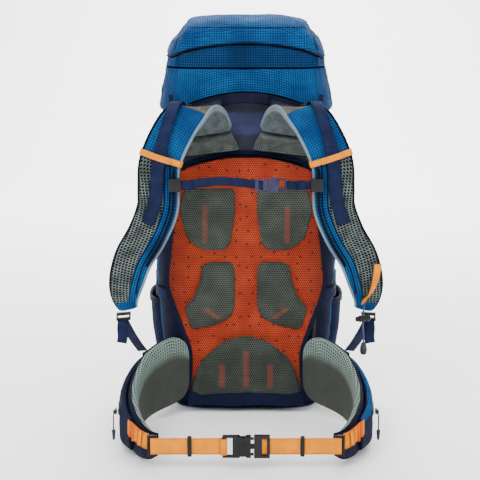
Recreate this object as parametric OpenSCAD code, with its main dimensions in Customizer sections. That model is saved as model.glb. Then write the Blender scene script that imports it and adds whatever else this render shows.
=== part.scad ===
// Trekking backpack with a lifting top lid, shoulder harness, sternum strap and padded hip belt.
// Millimetres. +X is the wearer's right, -Y faces the wearer, +Z is up.
// The origin is the centre of the flat underside of the base.

/* [Bag] */
// Widest width of the fabric bag
bag_w = 340; // [280:1:420]
// Depth of the fabric bag at its deepest
bag_d = 230; // [180:1:290]
// Height of the bag's rim above the floor
rim_h = 600; // [500:1:740]
// Wall thickness of the padded bag cloth
wall = 4; // [3:0.5:6]
// Height of the snow collar above the rim
collar_h = 38; // [20:1:45]
// Thickness of the base panel
base_t = 4; // [3:0.5:8]

/* [Lid] */
// Height of the lid pocket
lid_h = 74; // [50:1:100]
// Height of the lid's floor above the rim
lid_rise = 50; // [47:1:70]
// Gap between the bag and the lid skirt
lid_gap = 4.4; // [3:0.1:10]
// How far the lid swings open
lid_arch = 25; // [5:1:35]

/* [Back panel] */
// Widest width of the mesh back panel
panel_w = 286; // [240:1:330]
// Thickness of the back pads
pad_t = 16; // [10:1:24]
// Thickness of the mesh cover
mesh_t = 3; // [2:0.5:5]
// Thickness of the plastic frame sheet
sheet_t = 2.5; // [1.5:0.5:4]
// Thickness of the aluminium stays
stay_t = 3; // [2:0.5:4]

/* [Harness] */
// Width of the padded shoulder straps
strap_w = 70; // [55:1:80]
// Thickness of the padded shoulder straps
strap_t = 16; // [12:1:20]
// Width of the adjusting webbing
web_w = 20; // [15:1:25]
// Width of the sternum webbing
sternum_w = 15; // [12:1:20]
// Thickness of all webbing
web_t = 1.8; // [1.2:0.1:2.4]

/* [Hip belt] */
// Distance from the mesh to the belt buckle
belt_reach = 293; // [240:1:350]
// Width of the hip belt webbing
hip_web_w = 28; // [24:1:34]
// Thickness of the padded fins
fin_t = 18; // [12:1:24]
// Height of the belt buckle's centre above the floor
belt_z = 40; // [34:1:60]

/* [Hidden] */
navy = "#232c4d";
blue = "#23558f";
orange = "#f59a2c";
grey = "#6f7a78";
black = "#1d1d22";

seam = 0.4;                  // gap left between pieces that are sewn or laid together
back_y = -bag_d / 2;         // rear outer face of the bag
sheet_y = back_y - seam;
stay_y = sheet_y - sheet_t - seam;
pad_y = stay_y - stay_t - seam;
mesh_y = pad_y - pad_t - seam;
face_y = mesh_y - mesh_t;    // outermost face of the mesh panel

// ---- shape helpers ----
function unit(v) = v / norm(v);
function mix(a, b, t) = a + (b - a) * t;
function power(v, e) = sign(v) * pow(abs(v), e);
// Catmull-Rom curve through stations of any length
function spline_at(a, b, c, d, t) =
    0.5 * (2 * b + (c - a) * t + (2 * a - 5 * b + 4 * c - d) * t * t
    + (3 * b - a - 3 * c + d) * t * t * t);
function smooth(p, k) = concat(
    [for (i = [0 : len(p) - 2]) for (j = [0 : k - 1])
        spline_at(p[max(i - 1, 0)], p[i], p[i + 1], p[min(i + 2, len(p) - 1)], j / k)],
    [p[len(p) - 1]]);
function xyz(s) = [s[0], s[1], s[2]];
function heading(p, i) = unit(xyz(p[min(i + 1, len(p) - 1)]) - xyz(p[max(i - 1, 0)]));
function average(r) = [for (k = [0 : 2]) let(v = [for (q = r) q[k]]) v * [for (q = r) 1] / len(r)];
// Chamfered rectangle, anticlockwise
function section(w, t, c) = [[w/2 - c, t/2], [c - w/2, t/2], [-w/2, t/2 - c], [-w/2, c - t/2],
    [c - w/2, -t/2], [w/2 - c, -t/2], [w/2, c - t/2], [w/2, t/2 - c]];

// Closed solid through a list of rings, which run anticlockwise seen from the end
module skin(rings) {
    n = len(rings[0]);
    m = len(rings);
    ends = [average(rings[0]), average(rings[m - 1])];
    sides = [for (i = [0 : m - 2]) for (j = [0 : n - 1])
        let(a = i * n + j, b = i * n + (j + 1) % n) each [[a, a + n, b + n], [a, b + n, b]]];
    caps = [for (j = [0 : n - 1]) let(k = (j + 1) % n)
        each [[m * n, j, k], [m * n + 1, (m - 1) * n + k, (m - 1) * n + j]]];
    polyhedron(concat([for (r = rings) each r], ends), concat(sides, caps));
}

// Closed tube through rings that come back to the first one
module tube_skin(rings) {
    n = len(rings[0]);
    m = len(rings);
    polyhedron([for (r = rings) each r], [for (i = [0 : m - 1]) for (j = [0 : n - 1])
        let(a = i * n + j, b = i * n + (j + 1) % n, c = (i + 1) % m * n + j,
            d = (i + 1) % m * n + (j + 1) % n) each [[a, c, d], [a, d, b]]]);
}

// Band swept along stations [x, y, z, width, thickness], its width kept along the given side
function band_rings(p, side, chamfer) = [for (i = [0 : len(p) - 1])
    let(t = heading(p, i), w = unit(side - (side * t) * t), n = cross(t, w))
    [for (q = section(p[i][3], p[i][4], min(chamfer, p[i][4] / 2.2)))
        xyz(p[i]) + q[0] * w + q[1] * n]];
module band(p, side = [1, 0, 0], chamfer = 0.4) skin(band_rings(p, side, chamfer));

// Point beside a strap's centreline: across its width and off its outer face
function beside(p, i, side, across, off) =
    let(t = heading(p, i), w = unit(side - (side * t) * t), n = cross(t, w))
    xyz(p[i]) + across * w + off * n;

// Round cord swept along points
module cord_tube(p, d, sides = 8) {
    skin([for (i = [0 : len(p) - 1])
        let(t = heading(p, i), w = unit(cross(t, [0.3, 1, 0.2])), n = cross(t, w))
        [for (k = [0 : sides - 1])
            xyz(p[i]) + d / 2 * (cos(360 * k / sides) * w + sin(360 * k / sides) * n)]]);
}

module box(low, high) translate(low) cube(high - low);
module both_sides() {
    children();
    mirror([1, 0, 0]) children();
}

// ---- bag outline ----
width_share = [[0, 0.80], [0.05, 0.86], [0.2, 0.94], [0.4, 1], [0.62, 1], [0.78, 0.97], [0.9, 0.90],
    [2, 0.90]];
depth_share = [[0, 0.86], [0.1, 0.93], [0.35, 1], [0.6, 0.98], [0.85, 0.91], [2, 0.90]];
corner_power = 4.5;
bag_sides = 48;
collar_lean = 0.35;
function bag_hw(z) = bag_w / 2 * lookup(z / rim_h, width_share) - max(z - rim_h, 0) * collar_lean;
function bag_front(z) = back_y + bag_d * lookup(z / rim_h, depth_share) - max(z - rim_h,
    0) * collar_lean;
function bag_rear(z) = back_y + max(z - rim_h, 0) * collar_lean;
// Point on the bag's outline at height z and angle a, moved out by off
function bag_point(z, a, off = 0) =
    let(ry = (bag_front(z) - bag_rear(z)) / 2 + off, cy = (bag_front(z) + bag_rear(z)) / 2)
    [(bag_hw(z) + off) * power(cos(a), 2 / corner_power), cy + ry * power(sin(a), 2 / corner_power), z];
function bag_ring(z, off = 0) = [for (i = [0 : bag_sides - 1]) bag_point(z, 360 * i / bag_sides, off)];
bag_levels = [for (f = [0, 0.05, 0.12, 0.2, 0.3, 0.4, 0.5, 0.62, 0.7, 0.78, 0.85, 0.9, 1]) f * rim_h];

module bag_solid(off, low, high) {
    z = concat([low], [for (v = bag_levels) if (v > low + 1 && v < high - 1) v], [high]);
    skin([for (v = z) bag_ring(v, off)]);
}

module main_bag() color(blue) difference() {
    bag_solid(0, base_t + seam, rim_h);
    bag_solid(-wall, base_t + wall, rim_h + 1);
}

// The snow collar leans inwards above the rim
collar_low = rim_h + seam;
collar_wall = 2;
module snow_collar() color(blue) difference() {
    bag_solid(-1, collar_low, rim_h + collar_h);
    bag_solid(-1 - collar_wall, collar_low - 1, rim_h + collar_h + 1);
}

module base_panel() color(navy) skin([bag_ring(0, 0), bag_ring(base_t, 0)]);

// ---- back panel ----
panel_low = 30;                    // lower edge of the mesh
yoke_low = rim_h - 120;            // lower edge of the yoke at its middle
yoke_high = rim_h - 12;            // top of the yoke's arch
yoke_hw = 126;
yoke_t = 7;
function yoke_top(x) = yoke_high - 33 * pow(x / yoke_hw, 2);
function yoke_bottom(x) = yoke_low - 27 * pow(x / 121, 2);
function panel_z(f) = mix(panel_low, yoke_low - 4, f);
panel_side = [[0.02, 0.75], [0.18, 0.72], [0.29, 0.82], [0.46, 1], [0.58, 0.99], [0.74, 0.93],
    [0.9, 0.86]];

// Flat outline in the XZ plane, extruded from y1 back to y0
module plate(outline, y0, y1)
    translate([0, y1, 0]) rotate([90, 0, 0]) linear_extrude(y1 - y0) polygon(outline);

function panel_outline(hw) = concat(
    [for (x = [-1 : 0.125 : 1]) let(v = -x * 0.85 * hw) [v, yoke_bottom(v) - 4]],
    [for (s = smooth([for (i = [len(panel_side) - 1 : -1 : 0]) panel_side[i]], 3)) [-s[1] * hw,
        panel_z(s[0])]],
    [for (s = smooth(panel_side, 3)) [s[1] * hw, panel_z(s[0])]]);

module frame_sheet() color(black)
    plate(panel_outline(panel_w / 2 - 16), sheet_y - sheet_t, sheet_y);

stay_x = 62;
stay_w = 20;
module frame_stays() color("silver") both_sides()
    box([stay_x - stay_w / 2, stay_y - stay_t, 60], [stay_x + stay_w / 2, stay_y, yoke_high - 30]);

module back_mesh() color("#e8501f") plate(panel_outline(panel_w / 2), mesh_y - mesh_t, mesh_y);

pad_gap = 18;    // half width of the air channel down the middle
upper_pad = [
    [pad_gap, 0.875], [pad_gap + 1, 0.77], [pad_gap + 8, 0.65], [pad_gap + 16, 0.615], [65, 0.61],
    [90, 0.625], [108, 0.67], [122, 0.79], [112, 0.875]];
lower_pad = [[pad_gap, 0.56], [pad_gap, 0.37], [pad_gap + 10, 0.33], [60, 0.295], [100, 0.275],
    [117, 0.37],
    [98, 0.43], [87, 0.5], [80, 0.56], [70, 0.575], [pad_gap + 6, 0.575]];
lumbar_shape = [[0, 0.265], [30, 0.255], [62, 0.22], [84, 0.17], [94, 0.1], [98, 0.025]];
function pad_outline(p) = [for (q = p) [q[0], panel_z(q[1])]];

module upper_back_pads() color(grey) both_sides() plate(pad_outline(upper_pad), pad_y - pad_t, pad_y);
module lower_back_pads() color(grey) both_sides() plate(pad_outline(lower_pad), pad_y - pad_t, pad_y);
module lumbar_pad() color(grey) plate(concat(pad_outline(lumbar_shape),
    [for (i = [len(lumbar_shape) - 1 : -1 : 1]) let(q = lumbar_shape[i]) [-q[0], panel_z(q[1])]]),
    pad_y - pad_t, pad_y);

yoke_y = pad_y;
yoke_face = yoke_y - yoke_t;
module yoke_panel() color(navy) plate(concat(
    [for (i = [-8 : 8]) let(x = i / 8 * yoke_hw) [x, yoke_bottom(x)]],
    [for (i = [8 : -1 : -8]) let(x = i / 8 * yoke_hw) [x, yoke_top(x)]]), yoke_y - yoke_t, yoke_y);

// Grab loop: an arch of webbing standing off the yoke
haul_w = 84;
haul_rise = 22;
haul_z = yoke_high - 14;
module haul_loop() color(navy) band([for (i = [0 : 16]) let(a = 180 * i / 16)
    [-haul_w / 2 * cos(a), yoke_face - 4 - haul_rise * sin(a), haul_z + 8 * sin(a), web_w, 4]], [0,
        0, 1], 1);

// ---- shoulder straps ----
shoulder_z = rim_h - 38;            // top of the straps' arch
root_break = shoulder_z - 42;       // height where the fixed root ends and the strap begins
swing_y = yoke_face - 12;           // axis that the harness swings about
swing_z = rim_h - 44;
strap_end = shoulder_z - 350;
function shoulder(i) = [
    [68, face_y - 16, root_break + seam + 0.3, strap_w + 18, strap_t - 1],
    [76, face_y - 36, shoulder_z - 11, strap_w + 10, strap_t],
    [92, face_y - 60, shoulder_z, strap_w + 4, strap_t],
    [114, face_y - 82, shoulder_z - 17, strap_w, strap_t],
    [135, face_y - 94, shoulder_z - 52, strap_w, strap_t],
    [148, face_y - 98, shoulder_z - 87, strap_w, strap_t],
    [150, face_y - 100, shoulder_z - 122, strap_w, strap_t],
    [152, face_y - 100, shoulder_z - 162, strap_w, strap_t],
    [170, face_y - 98, shoulder_z - 207, strap_w - 2, strap_t],
    [195, face_y - 92, shoulder_z - 250, strap_w - 4, strap_t - 1],
    [209, face_y - 82, shoulder_z - 294, strap_w - 10, strap_t - 2],
    [213, face_y - 68, shoulder_z - 327, strap_w - 24, strap_t - 4],
    [208, face_y - 58, strap_end, strap_w - 40, strap_t - 7]][i];
strap_path = smooth([for (i = [0 : 12]) shoulder(i)], 3);
side_x = [1, 0, 0];
module shoulder_strap() color(blue) band(strap_path, side_x, 4);
module shoulder_strap_right() shoulder_strap();
module shoulder_strap_left() mirror([1, 0, 0]) shoulder_strap();

module strap_roots() color(grey) both_sides() band(smooth([
    [62, yoke_face - 6, yoke_low + 3, strap_w + 30, 10],
    [64, yoke_face - 9, yoke_low + 18, strap_w + 24, 12],
    [68, face_y - 14, root_break - 6, strap_w + 18, strap_t - 1]], 4), side_x, 4);

// Piped rail that the sternum clips ride on
rail_first = 15;
rail_last = 27;
rail_in = strap_w / 2 - 9;          // the rail's distance from the strap's centreline
rail_r = 2.5;
rail_off = 6;                       // the rail's centre stands this far off the strap's face
function rail_point(i) = beside(strap_path, i, side_x, -rail_in, strap_path[i][4] / 2 + rail_off);
module rail() {
    cord_tube([for (i = [rail_first : rail_last]) rail_point(i)], 2 * rail_r, 10);
    band([for (i = [rail_first : rail_last]) let(q = beside(strap_path, i, side_x, -rail_in,
        strap_path[i][4] / 2 + seam + (rail_off - rail_r) / 2)) [q[0], q[1], q[2], 1.4,
            rail_off - rail_r + 0.8]],
        side_x, 0.2);
}
module strap_rails() color(blue) both_sides() rail();

// Orange cross bands and the accessory loop on the right strap
band_at = 14;
band_w = 11;
module cross_band() {
    c = [for (q = section(strap_w + 7, strap_t + 7, 6)) beside(strap_path, band_at, side_x, q[0],
        q[1])];
    d = [for (q = section(strap_w + 2.4, strap_t + 2.4, 5)) beside(strap_path, band_at, side_x,
        q[0], q[1])];
    t = heading(strap_path, band_at) * band_w / 2;
    tube_skin([[for (q = c) q - t], [for (q = c) q + t],
        [for (q = d) q + t], [for (q = d) q - t]]);
}
loop_from = 28;
loop_to = 33;
module accessory_loop() band([for (i = [loop_from : loop_to])
    let(f = (i - loop_from) / (loop_to - loop_from), q = beside(strap_path, i, side_x,
        mix(strap_w / 2 - 6, -8, f), strap_path[i][4] / 2 + 7 + 4 * sin(180 * f)))
    [q[0], q[1], q[2], 15, web_t]], [0.6, 0.2, 0.75], 0.3);
module orange_loops() color(orange) {
    both_sides() cross_band();
    accessory_loop();
}

// Load lifter: from the ladder lock on the yoke down over the strap
lifter_x = 112;
lifter_path = smooth([
    [lifter_x, swing_y - 8, swing_z + 9, web_w, web_t],
    [lifter_x + 2, swing_y - 18, swing_z + 12, web_w, web_t],
    [lifter_x + 8, face_y - 60, shoulder_z + 17, web_w, web_t],
    [lifter_x + 17, face_y - 94, shoulder_z - 3, web_w, web_t],
    [lifter_x + 29, face_y - 110, shoulder_z - 44, web_w, web_t],
    [lifter_x + 36, face_y - 114, shoulder_z - 80, web_w, web_t],
    [lifter_x + 40, face_y - 115, shoulder_z - 112, web_w, web_t],
    [lifter_x + 43, face_y - 115, shoulder_z - 146, web_w, web_t],
    [lifter_x + 56, face_y - 113, shoulder_z - 186, web_w, web_t]], 4);
module lifter_webbing() color(navy) both_sides() band(lifter_path, side_x, 0.3);

// Webbing frame with one slot: length along X, height along Z, thickness along Y
module ladder_frame(l, h, t, slot_w, slot_h) difference() {
    cube([l, t, h], center = true);
    cube([slot_w, 2 * t, slot_h], center = true);
}

// ---- lower strap anchors ----
tab_z = 98;
tab_x = bag_hw(tab_z) + 36;
tab_y = back_y + 6;
lock_at = [214, face_y - 56, strap_end - 14];
module strap_tab() skin([for (f = [0, 0.5, 1])
    [for (q = section(mix(64, 16, f), mix(4, 3, f), 1))
        [mix(bag_hw(tab_z) + 1.5, tab_x, f), mix(back_y + 24, tab_y, f) - q[1],
            mix(tab_z - 10, tab_z, f) + q[0]]]]);
module strap_tabs() color(navy) both_sides() strap_tab();

// Adjusting webbing from the strap's ladder lock down to the tab
web_low = [tab_x + 2, tab_y, tab_z + 12];
web_high = [lock_at[0] + 2, lock_at[1] + 5, lock_at[2] - 10];
module strap_webbing() color(navy) both_sides() band([for (f = [0 : 0.25 : 1])
    let(q = mix(web_low, web_high, f)) [q[0], q[1], q[2], web_w - 2, web_t]], side_x, 0.3);
module strap_ladder_locks() color(black) both_sides() translate(lock_at + [4, 0, 0])
    rotate([12, 0, -20]) ladder_frame(26, 16, 5, 21, 4.5);

// Group of ladder locks on the bag: load lifters, and the four compression straps
compression_z = [rim_h * 0.36, rim_h * 0.72];
compression_angle = 12;
module webbing_ladder_locks() color(black) {
    both_sides() translate([lifter_x, yoke_face - 4, swing_z + 5])
        ladder_frame(30, 16, 4, web_w + 2.4, 6);
    both_sides() for (z = compression_z) translate(bag_point(z, compression_angle, web_t + 5))
        rotate([0, 0, 90 + compression_angle]) ladder_frame(18, web_w + 6, 4, 10, web_w + 1);
}

// ---- straps and zips that lie on the bag ----
module ring_band(z, a1, a2, w, t, off, steps = 12) band([for (i = [0 : steps])
    let(q = bag_point(z, mix(a1, a2, i / steps), off + t / 2)) [q[0], q[1], q[2], w, t]], [0, 0,
        1], 0.3);
// Compression straps, the lid's rear straps and the lower halves of its front straps
module bag_webbing() color(navy) {
    both_sides() for (z = compression_z) ring_band(z, -46, 54, web_w, web_t, 0.9, 16);
    both_sides() box([flap_hw + 1, lid_hinge_y - web_t - seam, skirt_low + 4],
        [flap_hw + 9, lid_hinge_y - seam, skirt_low + 38]);
    lid_strap_lower();
}

zip_angle = -57;
zip_w = 11;
side_zip_low = 110;
side_zip_high = rim_h - 170;
module side_zip() band([for (i = [0 : 10]) let(z = mix(side_zip_low, side_zip_high, i / 10),
    q = bag_point(z, zip_angle, 2.6)) [q[0], q[1], q[2], zip_w, 2]],
    unit(bag_point(200, zip_angle + 3) - bag_point(200, zip_angle - 3)), 0.4);

// Front pocket: a hollow bulge on the bag's far face, entered through its zip
pocket_w = 200;
pocket_low = 70;
pocket_high = rim_h - 190;
pocket_t = 30;
pocket_edge = 6;
pocket_wall = 3;
front_zip_z = pocket_high - 44;
front_zip_w = 130;
zip_slot = 5;
function pocket_bulge(z) = pow(sin(180 * min(max((z - pocket_low) / (pocket_high - pocket_low), 0),
    1)), 0.5);
function pocket_ring(z, off) = let(t = mix(pocket_edge, pocket_t, pocket_bulge(z)) + off,
    y = bag_front(z) - 8)
    [for (i = [0 : 19]) let(a = 18 * i)
        [(pocket_w / 2 + off) * power(cos(a), 0.5), y + (t + 8) * max(sin(a), -0.2), z]];
function pocket_levels(low, high) = [for (f = [0, 0.04, 0.12, 0.25, 0.4, 0.6, 0.75, 0.88, 0.96,
    1]) mix(low, high, f)];
module front_pocket() color(navy) difference() {
    skin([for (z = pocket_levels(pocket_low, pocket_high)) pocket_ring(z, 0)]);
    skin([for (z = pocket_levels(pocket_low + 10, pocket_high - 10)) pocket_ring(z, -pocket_wall)]);
    bag_solid(0.5, pocket_low - 20, pocket_high + 20);
    box([-front_zip_w / 2 + 4, bag_front(front_zip_z) + 8, front_zip_z - zip_slot / 2],
        [front_zip_w / 2 - 4, bag_front(front_zip_z) + pocket_t + 20, front_zip_z + zip_slot / 2]);
}
front_zip_y = bag_front(front_zip_z - 5) + pocket_t + 1;
module zip_tracks() color(black) {
    side_zip();
    box([-front_zip_w / 2, front_zip_y, front_zip_z - 4], [front_zip_w / 2, front_zip_y + 1.6,
        front_zip_z + 4]);
}
// Zip slider with its pull, seen along +Y; it rides a track in the XZ plane
module zip_slider() {
    box([-6, 0, -4], [6, 4, 4]);
    box([-2.5, 4.4, -20], [2.5, 6.4, 2]);
    box([-1, 3.5, -1.5], [1, 5, 1.5]);
}
module front_zip_slider() color("silver") translate([-front_zip_w / 2 + 8,
    front_zip_y + 1.6 + seam, front_zip_z]) zip_slider();

// ---- side pockets ----
side_pocket_low = 24;
side_pocket_high = 198;
side_pocket_out = 19;
side_pocket_wall = 3;
function side_ring(z, off) = let(f = (z - side_pocket_low) / (side_pocket_high - side_pocket_low),
    b = side_pocket_out * pow(sin(20 + 110 * min(max(f, 0), 1)), 0.6) + off, cy = 8)
    [for (i = [0 : 23]) let(a = 360 * i / 24)
        [bag_hw(z) - 30 + (30 + b) * power(max(cos(a), 0), 0.55) - (cos(a) < 0 ? 6 + off : 0),
         cy + (74 + off) * power(sin(a), 0.8), z]];
module side_pocket() difference() {
    skin([for (f = [0, 0.1, 0.25, 0.45, 0.7, 1]) side_ring(mix(side_pocket_low, side_pocket_high,
        f), 0)]);
    skin([for (f = [0.03, 0.1, 0.25, 0.45, 0.7, 1.01])
        side_ring(mix(side_pocket_low, side_pocket_high, f), -side_pocket_wall)]);
    bag_solid(0.6, side_pocket_low - 20, side_pocket_high + 20);
}
module side_pockets() color(navy) both_sides() side_pocket();

// ---- lid ----
lid_floor = rim_h + lid_rise;
skirt_low = rim_h - 52;
skirt_front = rim_h - 8;
skirt_t = 3.6;
lid_wall = 4;
flap_hw = 128;                     // the flap's side seams stand this far from the middle
lid_hinge_z = rim_h + 32;
lid_hinge_y = pad_y - yoke_t;
flap_low_gap = 3;
function lid_hw(z) = bag_hw(rim_h) + lid_gap + skirt_t - max(z - rim_h + 30, 0) * 0.06;
function lid_front() = bag_front(rim_h) + lid_gap + skirt_t + 8;
function lid_mid() = (lid_front() + lid_hinge_y) / 2;
function lid_point(a, hw, off) = let(ry = (lid_front() - lid_hinge_y) / 2)
    [(hw + off) * power(cos(a), 0.5), lid_mid() + (ry + off) * power(sin(a), 0.5)];
function lid_split(x) = lid_floor + lid_arch * (1 - min(pow(x / bag_hw(rim_h), 2), 1));
function skirt_edge(p) = mix(skirt_low, skirt_front,
    (p[1] - lid_hinge_y) / (lid_front() - lid_hinge_y));
skirt_drop = 2;                    // gap under the lid pocket
function skirt_ring(off, top) = [for (i = [0 : 59])
    let(q = lid_point(6 * i, lid_hw(top ? lid_floor : skirt_low), off))
    [q[0], q[1], top ? lid_split(q[0]) - skirt_drop : skirt_edge(q)]];
module skirt_shell() tube_skin([skirt_ring(0, false), skirt_ring(0, true),
    skirt_ring(-skirt_t, true), skirt_ring(-skirt_t, false)]);

// The rear of the skirt is a flap sewn to the yoke, and the lid folds back along its top edge
flap_y = -70;
module flap_zone(grow) box([-bag_w, lid_hinge_y - 9, skirt_low - 9], [bag_w, flap_y + grow,
    lid_hinge_z - 1.5 + 3 * grow]);
module lid_flap() color(blue) difference() {
    intersection() {
        skirt_shell();
        flap_zone(0);
    }
    plate(concat([[yoke_hw, skirt_low - 20]],
        [for (i = [8 : -1 : -8]) let(x = i / 8 * yoke_hw) [x, yoke_top(x) + flap_low_gap]],
        [[-yoke_hw, skirt_low - 20]]), lid_hinge_y - 5, lid_hinge_y + 12);
}
module lid_skirt() color(blue) difference() {
    skirt_shell();
    flap_zone(1);
}

lid_crown = 2.6;
lid_proud = 3;                     // how far the lid pocket stands outside the skirt
function lid_ring(t, off) = let(s = pow(1 - pow(t, lid_crown), 1 / lid_crown))
    [for (i = [0 : 47]) let(q = lid_point(7.5 * i, lid_hw(lid_floor), lid_proud - 2 * t + off),
        x = q[0] * s)
        [x, lid_mid() + (q[1] - lid_mid()) * mix(1, s, 0.8),
        mix(lid_split(x) - off, lid_floor + lid_h + off, t)]];
lid_tiers = [0, 0.12, 0.28, 0.45, 0.62, 0.76, 0.87, 0.95, 0.99];
lid_zip_z = lid_floor + 22;
lid_zip_w = 190;
lid_zip_y = lid_front() + lid_proud + 0.2;
module lid_pocket() color(blue) difference() {
    skin([for (t = lid_tiers) lid_ring(t, 0)]);
    skin([for (t = lid_tiers) lid_ring(t, -lid_wall)]);
    box([4 - lid_zip_w / 2, lid_front() - 30, lid_zip_z - zip_slot / 2],
        [lid_zip_w / 2 - 4, lid_front() + 20, lid_zip_z + zip_slot / 2]);
}
module lid_zip() color(black) box([-lid_zip_w / 2, lid_zip_y, lid_zip_z - 4], [lid_zip_w / 2,
    lid_zip_y + 1.6, lid_zip_z + 4]);
module lid_zip_slider() color("silver") translate([lid_zip_w / 2 - 8, lid_zip_y + 1.6 + seam,
    lid_zip_z]) zip_slider();

// Side-release buckle with its length along +X, its width along Z and its thickness along Y.
// The housing's mouth is at x = 0 and faces +X.
module buckle_housing(l, w, t, gap, web) difference() {
    union() {
        translate([-l, -t / 2, -w / 2]) cube([l, t, w]);
        translate([-l - 14, -t * 0.3, -w / 2]) cube([15, t * 0.6, w]);
    }
    translate([-l + 5, -gap / 2, -w]) cube([l, gap, 2 * w]);
    translate([-l - 10, -t, -web / 2 - 0.8]) cube([8, 2 * t, web + 1.6]);
}
module buckle_insert(l, w, t, web) {
    difference() {
        translate([0.6, -t * 0.75, -w / 2]) cube([22, t * 1.5, w]);
        translate([0, -web_t / 2 - 0.7, -web / 2 - 0.8]) cube([24, web_t + 1.4, web + 1.6]);
        translate([8.6, -2 * t, -web / 2 - 0.8]) cube([8, 4 * t, web + 1.6]);
    }
    translate([-l, -t / 2, -w * 0.1]) cube([l + 1, t, w * 0.2]);
    for (s = [-1, 1]) translate([-l * 0.9, -t / 2, s * w * 0.38 - w * 0.06]) cube([l * 0.9 + 1, t,
        w * 0.12]);
}

// Lid closures: a cap on each lid strap snaps flat onto the front of a base on the bag
lid_strap_x = 72;
lid_buckle_z = rim_h - 90;
lid_web_y = lid_front() + 10;
snap_w = 28;
snap_h = 30;
snap_t = 5;
module snap_plate(bar_side) difference() {
    box([-snap_w / 2, 0, min(0, bar_side * 10) - snap_h / 2], [snap_w / 2, snap_t, max(0,
        bar_side * 10) + snap_h / 2]);
    box([-web_w / 2 - 1, -1, bar_side * (snap_h / 2 + 3) - 4], [web_w / 2 + 1, snap_t + 1,
        bar_side * (snap_h / 2 + 3) + 4]);
}
module lid_buckle_bases() color(black) for (s = [-1, 1])
    translate([s * lid_strap_x, lid_web_y - snap_t, lid_buckle_z]) snap_plate(-1);
module lid_buckle_caps() color(black) for (s = [-1, 1])
    translate([s * lid_strap_x, lid_web_y + seam, lid_buckle_z]) snap_plate(1);
module lid_strap_lower() for (s = [-1, 1])
    band([for (f = [0 : 0.25 : 1]) [s * lid_strap_x, mix(lid_web_y - snap_t / 2,
        bag_front(pocket_high) + 3, pow(f, 0.6)),
        mix(lid_buckle_z - snap_h / 2 - 10 - seam, pocket_high + 6, f), web_w, web_t]], side_x, 0.3);
module lid_straps() color(navy) {
    for (s = [-1, 1]) band([for (f = [0 : 0.2 : 1])
        [s * lid_strap_x, lid_web_y + seam + mix(snap_t / 2, 0, f),
        mix(lid_buckle_z + snap_h / 2 + 10 + seam, lid_floor - 2, f), web_w, web_t]], side_x, 0.3);
}

// ---- hip belt ----
belt_y = face_y - belt_reach;
tip_x = 143;
fin_root_y = face_y - 6;
// Stations [x, y, lower z, upper z, thickness] from the panel forwards to the tip
function fin_stations() = smooth([
    [104, fin_root_y - 1, 28, 150, fin_t - 6],
    [140, fin_root_y - 18, 22, 148, fin_t],
    [176, fin_root_y - 58, 14, 132, fin_t],
    [192, fin_root_y - 112, 7, 108, fin_t],
    [193, fin_root_y - 172, 4, 90, fin_t],
    [180, fin_root_y - 226, 4, 74, fin_t - 2],
    [160, fin_root_y - 266, belt_z - 30, 62, fin_t - 5],
    [tip_x, belt_y + 15, belt_z - 20, belt_z + 16, fin_t - 10]], 4);
// Swept plate standing on edge: off moves it outwards, and the shares trim its height
function fin_ring(p, i, off, t, low, high) = let(
    a = p[min(i + 1, len(p) - 1)], b = p[max(i - 1, 0)],
    d = unit([a[0] - b[0], a[1] - b[1], 0]), n = [-d[1], d[0], 0],
    zl = mix(p[i][2], p[i][3], low), zh = mix(p[i][2], p[i][3], high), c = min(t / 2.3, 5),
    m = [p[i][0], p[i][1], 0] + off * n)
    [for (q = section(zh - zl, t, c)) m + [0, 0, (zl + zh) / 2 + q[0]] - q[1] * n];
module fin() {
    p = fin_stations();
    skin([for (i = [0 : len(p) - 1]) fin_ring(p, i, 0, p[i][4], 0, 1)]);
}
module hip_fin_right() color(navy) fin();
module hip_fin_left() color(navy) mirror([1, 0, 0]) fin();

pocket_first = 6;
pocket_last = 20;
pouch_t = 12;
pouch_wall = 2;
function pouch_rings(first, last, inset) = let(p = fin_stations()) [for (i = [first : last])
    let(f = (i - pocket_first) / (pocket_last - pocket_first),
        t = 3 + pouch_t * pow(sin(180 * mix(0.04, 0.96, f)), 0.6))
    fin_ring(p, i, p[i][4] / 2 + seam + t / 2, t - 2 * inset, 0.12 + inset / 80, 0.9 - inset / 80)];
module fin_pouch() difference() {
    skin(pouch_rings(pocket_first, pocket_last, 0));
    skin(pouch_rings(pocket_first + 1, pocket_last - 1, pouch_wall));
    box([hip_zip_x - 14, hip_zip_y - 40, hip_zip_z - zip_slot / 2], [hip_zip_x + 10,
        hip_zip_y + 40, hip_zip_z + zip_slot / 2]);
}
module hip_pocket_right() color(navy) fin_pouch();
module hip_pocket_left() color(navy) mirror([1, 0, 0]) fin_pouch();

// Hip zip: a straight stretch on the pouch's outer face, running fore and aft
hip_zip_x = 193 + fin_t / 2 + pouch_t + 5.5;
hip_zip_y = fin_root_y - 150;
hip_zip_z = 66;
hip_slider_y = hip_zip_y - 34;
module hip_zip_slider() translate([hip_zip_x, hip_slider_y, hip_zip_z]) rotate([0, 0, -90]) {
    box([-6, 0, -4], [6, 3.6, 4]);
    translate([0, 4.6, 0]) rotate([0, 90, 0]) cylinder(h = 8, r = 2, center = true, $fn = 24);
}
module hip_zip_slider_right() color(black) hip_zip_slider();
module hip_zip_slider_left() color(black) mirror([1, 0, 0]) hip_zip_slider();
pull_d = 2.4;
pull_tip = 18;
pull_route = [[5, 0, -2.6], [6, 0, -8], [6, -1, -14], [6, -2, -20], [6, -2, -26], [6, -2, -32.6]];
module hip_pull_cord() translate([hip_zip_x, hip_slider_y, hip_zip_z]) cord_tube(smooth(pull_route,
    2), pull_d);
module hip_pull_tip() translate([hip_zip_x + 6, hip_slider_y - 2, hip_zip_z - 32.6 - pull_tip])
    cylinder(h = pull_tip, r1 = 3.4, r2 = 2, $fn = 24);
module hip_pull_cord_right() color(black) hip_pull_cord();
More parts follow.
